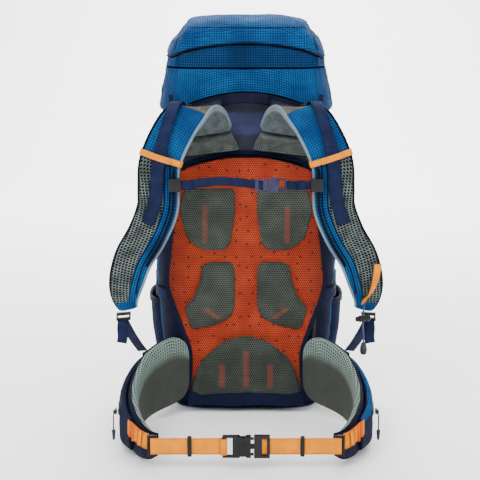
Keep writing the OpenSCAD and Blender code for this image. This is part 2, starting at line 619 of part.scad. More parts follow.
module hip_pull_cord_left() color(black) mirror([1, 0, 0]) hip_pull_cord();
module hip_pull_tip_right() color(black) hip_pull_tip();
module hip_pull_tip_left() color(black) mirror([1, 0, 0]) hip_pull_tip();

// Belt webbing: from the buckle back to the adjuster, then on along the fin's outer face
buckle_l = 24;
housing_bar = -buckle_l - 12;
adjuster_x = tip_x + 10;
keeper_x = 92;
side_web_off = 5;
module belt_web(from_x) {
    box([from_x, belt_y - web_t / 2, belt_z - hip_web_w / 2], [adjuster_x + 3, belt_y + web_t / 2,
        belt_z + hip_web_w / 2]);
    p = fin_stations();
    last = len(p) - 1;
    skin([for (i = [pocket_last + 1 : last - 3]) let(z = belt_z + 2 - (last - i) * -1.2,
        r = fin_ring(p, i, p[i][4] / 2 + side_web_off, web_t, 0, 1), m = average(r))
        [for (q = r) [q[0], q[1], z + (q[2] > m[2] ? 1 : -1) * hip_web_w / 2]]]);
}
module hip_webbing_right() color(orange) belt_web(15);
module hip_webbing_left() color(orange) {
    mirror([1, 0, 0]) belt_web(-housing_bar + 6);
    translate([housing_bar, belt_y, belt_z]) difference() {
        cylinder(h = hip_web_w, r = 6.4, center = true, $fn = 48);
        cylinder(h = 2 * hip_web_w, r = 4.6, center = true, $fn = 48);
    }
}

adjuster_t = 5;
module adjuster() {
    translate([adjuster_x, belt_y + web_t / 2 + seam + adjuster_t / 2, belt_z])
        ladder_frame(16, hip_web_w + 8, adjuster_t, 10, hip_web_w + 1);
    translate([keeper_x, belt_y, belt_z]) difference() {
        cube([7, web_t + 4, hip_web_w + 6], center = true);
        cube([9, web_t + 1.4, hip_web_w + 1.4], center = true);
    }
}
module hip_adjuster_right() color(black) adjuster();
module hip_adjuster_left() color(black) mirror([1, 0, 0]) adjuster();

hip_buckle_w = 38;
hip_buckle_t = 12;
hip_prong_t = 4;
hip_gap = 7;
arm_z = 13.4;
arm_t = 4;
arm_l = 22;
arm_root = 12;
module hip_buckle_female() color(black) translate([8, belt_y, belt_z]) difference() {
    union() {
        translate([-28, -hip_buckle_t / 2, -hip_buckle_w / 2 + 1]) cube([28, hip_buckle_t,
            hip_buckle_w - 2]);
        translate([-46.5, -3, -hip_buckle_w / 2]) cube([19, 6, hip_buckle_w]);
    }
    translate([-23, -hip_gap / 2, -hip_buckle_w]) cube([24, hip_gap, 2 * hip_buckle_w]);
    translate([-42, -6, -hip_web_w / 2 - 1]) cube([12, 12, hip_web_w + 2]);
    for (s = [-1, 1]) translate([-13, 0, s * (hip_buckle_w / 2 + 4)]) rotate([90, 0,
        0]) cylinder(h = 20, r = 8, center = true, $fn = 48);
}
module hip_buckle_male() color(black) translate([0, belt_y, belt_z]) {
    difference() {
        translate([arm_root + 1, -4.5, -hip_buckle_w / 2]) cube([26, 9, hip_buckle_w]);
        translate([arm_root, -web_t / 2 - 0.7, -hip_web_w / 2 - 0.8]) cube([30, web_t + 1.4,
            hip_web_w + 1.6]);
        translate([arm_root + 14, -10, -hip_web_w / 2 - 0.8]) cube([8, 20, hip_web_w + 1.6]);
    }
    translate([-12, -hip_prong_t / 2, -4]) cube([arm_root + 14, hip_prong_t, 8]);
}
module latch_arm() color(black) translate([arm_root, belt_y, belt_z + arm_z]) {
    translate([-arm_l, -hip_prong_t / 2, -arm_t / 2]) cube([arm_l + 0.6, hip_prong_t, arm_t]);
    translate([-arm_l + 5, 0, 0]) rotate([90, 0, 0]) cylinder(h = hip_prong_t, r = 4.4,
        center = true, $fn = 48);
}
module hip_latch_upper() latch_arm();
module hip_latch_lower() translate([0, 0, 2 * belt_z]) mirror([0, 0, 1]) latch_arm();

// ---- sternum strap ----
sternum_z = shoulder_z - 119;
clip_i = 18;
clip_at = [rail_point(clip_i)[0], rail_point(clip_i)[1], sternum_z];
clip_bore = rail_r + 2;
module sternum_clip() translate(clip_at) difference() {
    translate([-13, -rail_off - 2, -11]) cube([20, rail_off + 6, 22]);
    cylinder(h = 60, r = clip_bore, center = true, $fn = 40);
    translate([-2.2, 0, -30]) cube([4.4, 30, 60]);
}
module sternum_clips() color(black) both_sides() sternum_clip();
sternum_y = clip_at[1] - 3;
sternum_buckle_x = 46;
web_end = clip_at[0] - 13 - seam;
module sternum_webbing() color(navy) {
    box([-web_end, sternum_y - web_t / 2, sternum_z - sternum_w / 2],
        [sternum_buckle_x - 17, sternum_y + web_t / 2, sternum_z + sternum_w / 2]);
    box([sternum_buckle_x + 23, sternum_y - web_t / 2, sternum_z - sternum_w / 2],
        [web_end, sternum_y + web_t / 2, sternum_z + sternum_w / 2]);
}
// The housing's mouth faces the left strap, so both halves are turned round
module sternum_place() translate([sternum_buckle_x - 8, sternum_y, sternum_z]) rotate([0, 0,
    180]) children();
module sternum_buckle_female() color(black) sternum_place()
    buckle_housing(17, 22, 8.5, 5.4, sternum_w);
module sternum_buckle_male() color(black) sternum_place() buckle_insert(11, 20, 2.8, sternum_w);

// ---- cords ----
pole_d = 3.2;
pole_top = [208, face_y - 74, strap_end + 20];
pole_route = [[0, 0, 0], [0, -5, -8], [-1, -7, -18], [-2, -7, -30], [-2, -6, -42], [-1, -5, -54],
    [0, -4, -66], [0, -4, -76]];
pole_path = smooth([for (q = pole_route) pole_top + q], 3);
pole_lock_at = pole_top + [-2, -7, -32];
module pole_cord() color(navy) cord_tube(pole_path, pole_d);
module pole_cord_lock() color(black) translate(pole_lock_at) difference() {
    rotate([0, 90, 20]) cylinder(h = 26, r = 6, center = true, $fn = 48);
    cylinder(h = 30, r = pole_d / 2 + 1.4, center = true, $fn = 32);
}
module pole_cord_end() color(black) translate(pole_top + [0, -4, -76]) {
    translate([0, 0, -14]) cylinder(h = 14, r1 = 6.5, r2 = 4, $fn = 48);
    translate([0, 0, -22]) cylinder(h = 8, r1 = 4.5, r2 = 6.5, $fn = 48);
}

main_bag();
snow_collar();
base_panel();
frame_sheet();
frame_stays();
back_mesh();
upper_back_pads();
lower_back_pads();
lumbar_pad();
yoke_panel();
haul_loop();
strap_roots();
webbing_ladder_locks();
side_pockets();
front_pocket();
zip_tracks();
front_zip_slider();
bag_webbing();
strap_tabs();
lid_buckle_bases();
lid_flap();
lid_pocket();
lid_skirt();
lid_zip();
lid_straps();
lid_buckle_caps();
lid_zip_slider();
shoulder_strap_left();
shoulder_strap_right();
strap_rails();
orange_loops();
lifter_webbing();
strap_ladder_locks();
strap_webbing();
pole_cord();
pole_cord_lock();
pole_cord_end();
sternum_clips();
sternum_webbing();
sternum_buckle_female();
sternum_buckle_male();
hip_fin_left();
hip_fin_right();
hip_pocket_left();
hip_pocket_right();
hip_webbing_left();
hip_webbing_right();
hip_adjuster_left();
hip_adjuster_right();
hip_buckle_female();
hip_buckle_male();
hip_latch_upper();
hip_latch_lower();
hip_zip_slider_left();
hip_zip_slider_right();
hip_pull_cord_left();
hip_pull_cord_right();
hip_pull_tip_left();
hip_pull_tip_right();
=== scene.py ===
"""Hiking backpack: framed back, hinged lid, shoulder harness and padded hip belt."""

import math

import bmesh
import bpy
import numpy as np
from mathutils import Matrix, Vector, noise
from mathutils.bvhtree import BVHTree


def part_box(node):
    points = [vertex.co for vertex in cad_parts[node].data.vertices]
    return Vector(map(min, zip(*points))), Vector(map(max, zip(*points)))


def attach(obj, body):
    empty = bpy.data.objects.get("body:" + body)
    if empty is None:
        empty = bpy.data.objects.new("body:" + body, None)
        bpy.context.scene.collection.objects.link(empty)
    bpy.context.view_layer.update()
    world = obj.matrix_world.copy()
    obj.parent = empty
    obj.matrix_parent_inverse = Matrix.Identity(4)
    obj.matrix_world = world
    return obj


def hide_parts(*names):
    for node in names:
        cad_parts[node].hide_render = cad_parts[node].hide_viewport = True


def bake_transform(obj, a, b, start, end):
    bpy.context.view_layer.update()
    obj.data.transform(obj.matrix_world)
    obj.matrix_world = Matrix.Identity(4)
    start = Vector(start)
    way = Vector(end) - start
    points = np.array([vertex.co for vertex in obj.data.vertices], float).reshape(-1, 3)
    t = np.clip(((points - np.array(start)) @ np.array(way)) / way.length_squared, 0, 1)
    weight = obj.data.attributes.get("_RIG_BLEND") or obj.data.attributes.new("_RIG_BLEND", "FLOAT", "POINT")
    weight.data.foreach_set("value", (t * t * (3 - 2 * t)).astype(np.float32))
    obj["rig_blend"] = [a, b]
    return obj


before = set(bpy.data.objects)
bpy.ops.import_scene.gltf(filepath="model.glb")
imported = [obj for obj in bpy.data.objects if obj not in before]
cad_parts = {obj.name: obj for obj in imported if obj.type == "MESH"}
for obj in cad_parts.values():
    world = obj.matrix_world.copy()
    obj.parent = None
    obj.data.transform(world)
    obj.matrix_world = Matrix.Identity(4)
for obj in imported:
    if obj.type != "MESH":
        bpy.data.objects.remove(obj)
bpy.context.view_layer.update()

# ---------------------------------------------------------------- view
# The pack stands on a pale sheet that curves up behind it. A long lens looks
# slightly down at the side that lies against the wearer's back.
AIM = Vector((0.0, -0.145, 0.326))
DISTANCE, ELEVATION = 2.4, math.radians(11)
lens = bpy.data.cameras.new("view")
lens.lens = 100
lens.shift_x = -0.0125
camera = bpy.data.objects.new("view", lens)
camera.location = AIM + DISTANCE * Vector((0, -math.cos(ELEVATION), math.sin(ELEVATION)))
camera.rotation_euler = (AIM - camera.location).to_track_quat("-Z", "Y").to_euler()
bpy.context.scene.collection.objects.link(camera)
bpy.context.scene.camera = camera

sky = bpy.data.worlds.new("studio")
sky.use_nodes = True
sky.node_tree.nodes["Background"].inputs["Color"].default_value = (0.93, 0.96, 1.0, 1)
sky.node_tree.nodes["Background"].inputs["Strength"].default_value = 0.75
bpy.context.scene.world = sky


def soft_lamp(name, spot, watts, size, target=(0, -0.1, 0.35)):
    lamp = bpy.data.lights.new(name, "AREA")
    lamp.energy, lamp.size = watts, size
    holder = bpy.data.objects.new(name, lamp)
    holder.location = spot
    holder.rotation_euler = (Vector(target) - Vector(spot)).to_track_quat("-Z", "Y").to_euler()
    bpy.context.scene.collection.objects.link(holder)


soft_lamp("key", (-1.4, -2.6, 2.6), 74, 1.4)
soft_lamp("fill", (2.2, -2.2, 1.3), 26, 2.0)
soft_lamp("top", (0.2, 0.2, 3.0), 26, 1.8)
soft_lamp("behind", (0.5, 3.0, 1.8), 40, 2.2)
soft_lamp("backdrop", (0, 2.5, 2.7), 300, 2.6, (0, 2.7, 0))
soft_lamp("apron", (0, -1.9, 2.2), 60, 2.4, (0, -1.5, 0))


def srgb(code):
    """Linear colour of a six-digit paint code."""
    parts = [int(code[k:k + 2], 16) / 255 for k in (0, 2, 4)]
    return tuple(c / 12.92 if c < 0.0405 else ((c + 0.055) / 1.055) ** 2.4 for c in parts) + (1.0,)


class Finish:
    """One procedural material: fields over the surface go in, colour and relief come out."""

    def __init__(self, name, rough=0.8, sheen=0.0, metal=0.0, gloss=0.5, own_map=True):
        self.material = bpy.data.materials.new(name)
        self.material.use_nodes = True
        self.tree = self.material.node_tree
        self.shader = self.tree.nodes["Principled BSDF"]
        self.shader.inputs["Roughness"].default_value = rough
        self.shader.inputs["Metallic"].default_value = metal
        self.shader.inputs["Specular IOR Level"].default_value = gloss
        self.shader.inputs["Sheen Weight"].default_value = sheen
        self.place = self.add("ShaderNodeTexCoord").outputs["Object"]
        self.cloth = self.place
        if own_map:
            weave = self.add("ShaderNodeUVMap")
            weave.uv_map = "weave"
            self.cloth = weave.outputs["UV"]

    def add(self, kind, **settings):
        made = self.tree.nodes.new(kind)
        for key, value in settings.items():
            setattr(made, key, value)
        return made

    def feed(self, socket, value):
        if isinstance(value, bpy.types.NodeSocket):
            self.tree.links.new(value, socket)
        else:
            socket.default_value = value

    def math(self, operation, *values):
        step = self.add("ShaderNodeMath", operation=operation)
        for socket, value in zip(step.inputs, values):
            self.feed(socket, value)
        return step.outputs[0]

    def times(self, a, b):
        return self.math("MULTIPLY", a, b)

    def plus(self, a, b):
        return self.math("ADD", a, b)

    def minus(self, a, b):
        return self.math("SUBTRACT", a, b)

    def axes(self, source=None):
        split = self.add("ShaderNodeSeparateXYZ")
        self.feed(split.inputs[0], source or self.cloth)
        return split.outputs

    def share(self):
        """Place on the piece as shares: 0 to 1 along it, and -1 to 1 across it."""
        shares = self.add("ShaderNodeUVMap")
        shares.uv_map = "share"
        return self.axes(shares.outputs["UV"])

    def ramp(self, value, start, end, low=0.0, high=1.0):
        step = self.add("ShaderNodeMapRange", interpolation_type="SMOOTHSTEP")
        for socket, v in zip(step.inputs, (value, start, end, low, high)):
            self.feed(socket, v)
        return step.outputs[0]

    def cloud(self, size, detail=3.0, source=None, stretch=None):
        where = source or self.place
        if stretch:
            turn = self.add("ShaderNodeMapping")
            turn.inputs["Scale"].default_value = stretch
            self.feed(turn.inputs["Vector"], where)
            where = turn.outputs[0]
        fog = self.add("ShaderNodeTexNoise")
        self.feed(fog.inputs["Vector"], where)
        fog.inputs["Scale"].default_value = 1 / size
        fog.inputs["Detail"].default_value = detail
        return fog.outputs["Fac"]

    def lines(self, value, pitch, width, soft):
        """1 on parallel lines that lie pitch apart."""
        away = self.math("PINGPONG", value, pitch / 2)
        return self.ramp(away, width / 2, width / 2 + soft, 1.0, 0.0)

    def dots(self, x, y, pitch, radius, soft):
        """1 inside round dots set in a honeycomb."""
        tall = pitch * math.sqrt(3)
        gaps = []
        for shift in (0, 0.5):
            dx = self.math("PINGPONG", self.plus(x, shift * pitch + 50 * pitch), pitch / 2)
            dy = self.math("PINGPONG", self.plus(y, shift * tall + 50 * tall), tall / 2)
            gaps.append(self.math("SQRT", self.plus(self.times(dx, dx),
                                                    self.times(dy, dy))))
        return self.ramp(self.math("MINIMUM", *gaps), radius - soft, radius + soft, 1.0, 0.0)

    def plain_weave(self, u, v, pitch):
        """Small squares of thread that go over and under."""
        return self.times(self.math("SINE", self.times(u, math.tau / pitch)),
                          self.math("SINE", self.times(v, math.tau / pitch)))

    def blend(self, share, first, second):
        mixer = self.add("ShaderNodeMix", data_type="RGBA")
        for name, value in (("Factor_Float", share), ("A_Color", first), ("B_Color", second)):
            socket = next(s for s in mixer.inputs if s.identifier == name)
            self.feed(socket, srgb(value) if isinstance(value, str) else value)
        return next(s for s in mixer.outputs if s.identifier == "Result_Color")

    def done(self, colour, height=None, depth=0.0005, rough=None):
        self.feed(self.shader.inputs["Base Color"], colour)
        if rough is not None:
            self.feed(self.shader.inputs["Roughness"], rough)
        if height is not None:
            relief = self.add("ShaderNodeBump")
            relief.inputs["Strength"].default_value = 0.8
            relief.inputs["Distance"].default_value = depth
            self.feed(relief.inputs["Height"], height)
            self.feed(self.shader.inputs["Normal"], relief.outputs[0])
        return self.material


def paper_sheet():
    paper = Finish("pale_paper", rough=0.9, own_map=False)
    return paper.done(paper.blend(paper.cloud(0.4), "FAFAFA", "FDFDFD"), paper.cloud(0.01), 0.0002)


FLOOR_HALF, FLOOR_BACK, FLOOR_FRONT, SWEEP = 6.0, 3.6, -4.2, 1.4
profile = [(FLOOR_FRONT, 0.0), (FLOOR_BACK - SWEEP, 0.0)]
profile += [(FLOOR_BACK - SWEEP + SWEEP * math.sin(a), SWEEP - SWEEP * math.cos(a))
            for a in np.linspace(0, math.pi / 2, 13)[1:]]
profile += [(FLOOR_BACK, 4.5)]
sheet_mesh = bpy.data.meshes.new("studio_sheet")
sheet_mesh.from_pydata([(x, y, z - 0.0008) for y, z in profile for x in (-FLOOR_HALF, FLOOR_HALF)], [],
                       [(2 * i, 2 * i + 1, 2 * i + 3, 2 * i + 2) for i in range(len(profile) - 1)])
sheet_mesh.materials.append(paper_sheet())
sheet_mesh.shade_smooth()
studio_sheet = bpy.data.objects.new("studio_sheet", sheet_mesh)
bpy.context.scene.collection.objects.link(studio_sheet)

# ---------------------------------------------------------------- pole cord
# An elastic cord hangs from the end of the wearer's right strap to hold the grips of
# walking poles. A barrel lock slides on it, and its ends sit in a moulded rubber pull.
MM = 0.001
BACK = -115 * MM                    # rear outer face of the bag
FACE = -141.1 * MM                  # outermost face of the mesh panel
UP = (0, 0, 1)


def points(*rows):
    """Stations written in millimetres, in metres."""
    return np.array(rows, float) * MM


def flow(stations, steps):
    """Catmull-Rom curve through stations of any length."""
    p = np.asarray(stations, float)
    out = []
    for i in range(len(p) - 1):
        a, b, c, d = p[max(i - 1, 0)], p[i], p[i + 1], p[min(i + 2, len(p) - 1)]
        for t in np.arange(steps) / steps:
            out.append(0.5 * (2 * b + (c - a) * t + (2 * a - 5 * b + 4 * c - d) * t * t
                              + (3 * b - a - 3 * c + d) * t ** 3))
    return np.array(out + [p[-1]])


def unit(v):
    v = np.asarray(v, float)
    return v / np.maximum(np.linalg.norm(v, axis=-1, keepdims=True), 1e-12)


def headings(path):
    p = np.asarray(path, float)[:, :3]
    ahead = np.vstack([p[1:], p[-1:]])
    behind = np.vstack([p[:1], p[:-1]])
    return unit(ahead - behind)


def finished(name, mesh, body, materials, replaced=(), smooth=True):
    for m in materials:
        mesh.materials.append(m)
    if smooth:
        mesh.shade_smooth()
    obj = bpy.data.objects.new(name, mesh)
    bpy.context.scene.collection.objects.link(obj)
    if body:
        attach(obj, body)
    if replaced:
        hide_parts(*replaced)
    return obj


def skin(name, rows, closed=True, caps=True, middle=0, parts=None):
    """Mesh over a grid of rings, with a map in metres (weave) and one in shares (share)."""
    rows = np.asarray(rows, float)
    n, m = rows.shape[:2]
    ring = np.concatenate([rows, rows[:, :1]], 1) if closed else rows
    across = np.insert(np.linalg.norm(np.diff(ring, axis=1), axis=2).cumsum(1), 0, 0, axis=1)
    half = np.maximum(across[:, -1:] / 2, 1e-9)
    centre = across[:, middle:middle + 1] if middle else (0 if closed else half)
    across = across - centre
    along = np.insert(np.linalg.norm(np.diff(rows, axis=0), axis=2).mean(1).cumsum(), 0, 0)
    faces, weave, share, kinds = [], [], [], []
    last = max(along[-1], 1e-9)
    for i in range(n - 1):
        for j in range(ring.shape[1] - 1):
            k = (j + 1) % m
            faces.append((i * m + j, i * m + k, (i + 1) * m + k, (i + 1) * m + j))
            for a, b in ((i, j), (i, j + 1), (i + 1, j + 1), (i + 1, j)):
                weave.append((along[a], across[a, b]))
                share.append((along[a] / last, across[a, b] / half[a, 0]))
            kinds.append(parts(i, j) if parts else 0)
    if closed and caps:
        for i, order in ((0, range(m - 1, -1, -1)), (n - 1, range(m))):
            faces.append(tuple(i * m + j for j in order))
            weave += [(along[i], across[i, j]) for j in order]
            share += [(along[i] / last, across[i, j] / half[i, 0]) for j in order]
            kinds.append(parts(min(i, n - 2), 0) if parts else 0)
    mesh = bpy.data.meshes.new(name)
    mesh.from_pydata(rows.reshape(-1, 3).tolist(), [], faces)
    for title, values in (("weave", weave), ("share", share)):
        layer = mesh.uv_layers.new(name=title)
        layer.data.foreach_set("uv", np.array(values, np.float32).ravel())
    mesh.polygons.foreach_set("material_index", kinds)
    if closed:
        turn_out(mesh)
    return mesh


def turn_out(mesh):
    work = bmesh.new()
    work.from_mesh(mesh)
    bmesh.ops.recalc_face_normals(work, faces=work.faces)
    work.to_mesh(mesh)
    work.free()


def round_rows(path, radius, sides=12, lean=(0.3, 1, 0.2)):
    """Rings of a round bar along a path; radius is one number or one for each station."""
    p = np.asarray(path, float)[:, :3]
    t = headings(p)
    w = unit(np.cross(t, lean))
    n = np.cross(t, w)
    r = np.broadcast_to(np.asarray(radius, float), len(p))
    turn = np.linspace(0, 2 * math.pi, sides, endpoint=False)
    return (p[:, None] + r[:, None, None] * (np.cos(turn)[None, :, None] * w[:, None]
                                            + np.sin(turn)[None, :, None] * n[:, None]))


def paired(side, node):
    """The right piece of a pair stands for the one CAD solid that holds both."""
    return [node] if side == "right" else []


def round_cord(name, body, finish, path, radius, around=10, nodes=()):
    """A round cord, edge or piping along a path."""
    return finished(name, skin(name, round_rows(path, radius, around)), body, [finish], nodes)


def braided(name, dark, light, pitch=0.0016):
    """Round braid: slanted strands that cross over one another."""
    f = Finish(name, rough=0.75, sheen=0.05)
    u, v = f.axes()[:2]
    up = f.lines(f.plus(u, v), pitch, pitch * 0.35, pitch * 0.3)
    down = f.lines(f.minus(u, v), pitch, pitch * 0.35, pitch * 0.3)
    strand = f.math("MAXIMUM", up, down)
    tone = f.times(f.plus(strand, f.cloud(0.004)), 0.5)
    return f.done(f.blend(tone, dark, light), strand, 0.0003)


def rubber(name, dark, light):
    """Matt moulded rubber with a fine grain."""
    f = Finish(name, rough=0.62, own_map=False, gloss=0.35)
    grain = f.cloud(0.0012, 4)
    tone = f.ramp(f.cloud(0.012), 0.35, 0.7)
    return f.done(f.blend(tone, dark, light), grain, 0.00015)


def moulded(name, dark, light, rough=0.42):
    """Hard moulded plastic: fine spark texture, paler on its sharp edges."""
    f = Finish(name, rough=rough, own_map=False, gloss=0.25)
    grain = f.cloud(0.0009, 3)
    pale_rim = f.ramp(f.add("ShaderNodeNewGeometry").outputs["Pointiness"], 0.5, 0.58)
    tone = f.plus(f.times(f.ramp(f.cloud(0.02), 0.3, 0.75), 0.45),
                  f.times(pale_rim, 0.5))
    shine = f.ramp(f.cloud(0.006), 0.3, 0.8, rough - 0.08, rough + 0.12)
    return f.done(f.blend(tone, dark, light), grain, 0.0001, shine)


CORD_NAVY = braided("navy_braid", "151C36", "37436B")
CORD_BLACK = braided("black_braid", "0E0E12", "34343C", 0.0012)
RUBBER = rubber("black_rubber", "15161A", "2E2F33")
PLASTIC = moulded("black_moulding", "08080A", "1A191D")


def turned(name, axis_low, axis_high, profile, sides=28):
    """Round moulding: profile lists (share of the length, radius) from one end to the other."""
    a, b = np.asarray(axis_low, float), np.asarray(axis_high, float)
    path = np.array([a + (b - a) * s for s, _ in profile])
    t = unit(b - a)
    w = unit(np.cross(t, (0.3, 1, 0.2)))
    n = np.cross(t, w)
    turn = np.linspace(0, 2 * math.pi, sides, endpoint=False)
    rows = [q + r * (np.cos(turn)[:, None] * w + np.sin(turn)[:, None] * n)
            for q, (_, r) in zip(path, profile)]
    return skin(name, rows)


POLE_TOP = points((208, -215.1, 232))[0]
pole_route = flow(POLE_TOP + points((0, 0, 0), (0, -5, -8), (-1, -7, -18), (-2, -7, -30), (-2, -6, -42),
                                    (-1, -5, -54), (0, -4, -66), (0, -4, -76)), 4)
pole_cord = round_cord("pole_cord_braid", "harness", CORD_NAVY, pole_route, 1.6 * MM,
                       nodes=["pole_cord"])
lock_at = POLE_TOP + points((-2, -7, -32))[0]
lock_way = 13 * MM * np.array([math.cos(math.radians(20)), math.sin(math.radians(20)), 0])
pole_lock = finished("pole_cord_barrel", turned("pole_cord_barrel", lock_at - lock_way, lock_at + lock_way, [
    (0, 0.0030), (0, 0.0042), (0.02, 0.0046), (0.16, 0.0046), (0.17, 0.0040), (0.2, 0.0040), (0.21, 0.0056),
    (0.24, 0.0060), (0.34, 0.0060), (0.36, 0.0055), (0.39, 0.0055), (0.41, 0.0060), (0.59, 0.0060),
    (0.61, 0.0055), (0.64, 0.0055), (0.66, 0.0060), (0.9, 0.0060), (0.97, 0.0054), (1, 0.0042), (1, 0.002)]),
    "pole_lock", [PLASTIC], ["pole_cord_lock"])
end_top = POLE_TOP + points((0, -4, -76))[0]
pole_end = finished("pole_cord_pull", turned("pole_cord_pull", end_top, end_top - np.array([0, 0, 22 * MM]), [
    (0, 0.0022), (0, 0.0034), (0.05, 0.0040), (0.2, 0.0046), (0.38, 0.0058), (0.52, 0.0064), (0.6, 0.0066),
    (0.64, 0.0060), (0.68, 0.0066), (0.74, 0.0064), (0.78, 0.0057), (0.82, 0.0060), (0.92, 0.0052),
    (1, 0.0036), (1, 0.001)]), "harness", [RUBBER], ["pole_cord_end"])

# ---------------------------------------------------------------- hip pulls
# A short black cord hangs from each hip pocket's zip slider. A ribbed rubber tip is
# moulded on its end so that a gloved hand can find it.
PULL_ROUTE = points((5, 0, -2.6), (6, 0, -8), (6, -1, -14), (6, -2, -20), (6, -2, -26), (6, -2, -32.6))
SLIDER_AT = points((219.5, -331.1, 66))[0]
sides = [(1, "right", np.array([1.0, 1, 1])), (-1, "left", np.array([-1.0, 1, 1]))]
for _, side, flip in sides:
    route = flow((SLIDER_AT + PULL_ROUTE), 3) * flip
    pull = round_cord(f"hip_pull_braid_{side}", f"hip_slider_{side}", CORD_BLACK, route, 1.2 * MM,
                      nodes=[f"hip_pull_cord_{side}"])
    top = (SLIDER_AT + points((6, -2, -32.6))[0]) * flip
    ribs = [(0, 0.0014), (0, 0.0024), (0.04, 0.0031), (0.1, 0.0034)]
    for k in range(6):
        s = 0.16 + 0.13 * k
        ribs += [(s, 0.0034 - 0.0002 * k), (s + 0.02, 0.0028 - 0.00017 * k), (s + 0.05, 0.0028 - 0.00017 * k),
                 (s + 0.07, 0.0033 - 0.0002 * k)]
    ribs += [(0.97, 0.0018), (1, 0.001), (1, 0.0002)]
    tip = finished(f"hip_pull_rubber_{side}", turned("tip", top, top - np.array([0, 0, 18 * MM]), ribs),
                   f"hip_slider_{side}", [RUBBER], [f"hip_pull_tip_{side}"])

# ---------------------------------------------------------------- main bag
# A tall tube of nylon: blue ripstop sides, navy front and edges, sewn from panels with
# bound seams. It is hollow, coated pale inside, and closed above by a thin snow collar.
RIM = 600 * MM
WIDTH_SHARE = ([0, .05, .2, .4, .62, .78, .9, 2], [.80, .86, .94, 1, 1, .97, .90, .90])
DEPTH_SHARE = ([0, .1, .35, .6, .85, 2], [.86, .93, 1, .98, .91, .90])
CORNER = 4.5


def bag_half(z):
    return 170 * MM * np.interp(z / RIM, *WIDTH_SHARE) - max(z - RIM, 0) * 0.35


def bag_front(z):
    return BACK + 230 * MM * np.interp(z / RIM, *DEPTH_SHARE) - max(z - RIM, 0) * 0.35


def power(v, e):
    return math.copysign(abs(v) ** e, v)


def bag_point(z, angle, off=0.0):
    """Place on the bag's outline at a height and an angle in degrees, moved out by off."""
    rear = BACK + max(z - RIM, 0) * 0.35
    a = math.radians(angle)
    return np.array([(bag_half(z) + off) * power(math.cos(a), 2 / CORNER),
                     (bag_front(z) + rear) / 2 + ((bag_front(z) - rear) / 2 + off)
                     * power(math.sin(a), 2 / CORNER),
                     z])


BAG_ROUND = 96                      # points round the bag at each height


def even_ring(z, off, count=BAG_ROUND):
    """Outline at one height as evenly spaced points, from the middle of the back round to it again."""
    fine = np.array([bag_point(z, -90 + a, off) for a in np.linspace(0, 360, 721)])
    run = np.insert(np.linalg.norm(np.diff(fine, axis=0), axis=1).cumsum(), 0, 0)
    want = np.linspace(0, run[-1], count, endpoint=False)
    return np.stack([np.interp(want, run, fine[:, k]) for k in range(3)], 1)


def crease(x, y, z, size, seed):
    """Fold depth between -1 and 1 at a place: stretched noise, for cloth that slumps."""
    return noise.noise(Vector((x / size, y / size, z / (size * 0.45) + seed)))


def ripstop(name, dark, light, line, pitch=0.0043):
    """Nylon with a square grid of thicker threads woven in."""
    f = Finish(name, rough=0.8, sheen=0.0, gloss=0.05)
    u, v = f.axes()[:2]
    grid = f.math("MAXIMUM", f.lines(u, pitch, pitch * 0.24, pitch * 0.12),
                  f.lines(v, pitch, pitch * 0.24, pitch * 0.12))
    twill = f.lines(f.plus(u, v), pitch / 5, pitch / 14, pitch / 14)
    cloth = f.blend(f.ramp(f.cloud(0.05, 3), 0.25, 0.75), dark, light)
    cloth = f.blend(f.times(twill, 0.12), cloth, line)
    relief = f.plus(grid, f.times(twill, 0.3))
    return f.done(f.blend(f.times(grid, 0.8), cloth, line), relief, 0.0003)


def plain_cloth(name, dark, light, pitch=0.0011, rough=0.68, own_map=True):
    """Plain woven nylon: small over-and-under squares, mottled where it has been handled."""
    f = Finish(name, rough=rough, sheen=0.0, gloss=0.08, own_map=own_map)
    u, v = f.axes()[:2] if own_map else (f.axes()[0], f.axes()[2])
    over = f.plain_weave(u, v, pitch)
    tone = f.plus(f.times(over, 0.16), f.ramp(f.cloud(0.05, 4), 0.28, 0.75, 0.15, 0.6))
    return f.done(f.blend(tone, dark, light), over, 0.00022)


BLUE_RIPSTOP = ripstop("blue_ripstop", "0B3C70", "1A6098", "051C38")
# A darker copy of the blue ripstop: painted shade for the shadow under the lid pocket's overhang.
SHADED_RIPSTOP = ripstop("shaded_blue_ripstop", "0A2C52", "123F6E", "041426")
NAVY_CLOTH = plain_cloth("navy_cloth", "080D20", "121A38")
PALE_LINING = plain_cloth("grey_lining", "6D7680", "8E979F")
COLLAR_CLOTH = plain_cloth("collar_cloth", "0F1A3C", "1C2E5C", 0.0014, 0.55)

bag_ranks = np.array([4.4, 12, 22, 34, 46, *range(60, 580, 14), 584, 592, 600]) * MM


def bag_rows(heights, off, depth):
    rows = []
    for z in heights:
        ring = even_ring(z, off)
        middle = np.array([0, 0, z])
        out = unit((ring - middle) * np.array([1, 1, 0]))
        calm = min(1.0, (z - heights[0]) / 0.03, (heights[-1] - z) / 0.03 + 0.2)
        slump = np.array([crease(*p, 0.055, 3.1) + 0.5 * crease(*p, 0.024, 8.2) for p in ring])
        flat = np.clip((ring[:, 1] - BACK) / 0.03, 0, 1)
        rows.append(ring + out * (depth * calm * slump * flat)[:, None])
    return np.array(rows)


def bag_panel(i, j):
    """0 navy, 1 blue ripstop: the sides are blue between two upright seams."""
    j = j % BAG_ROUND
    part = min(j, BAG_ROUND - 1 - j)
    high = bag_ranks[min(i, len(bag_ranks) - 1)]
    if high < 0.06:
        return 0
    return 1 if 17 <= part < 33 else (2 if part >= 33 else 0)


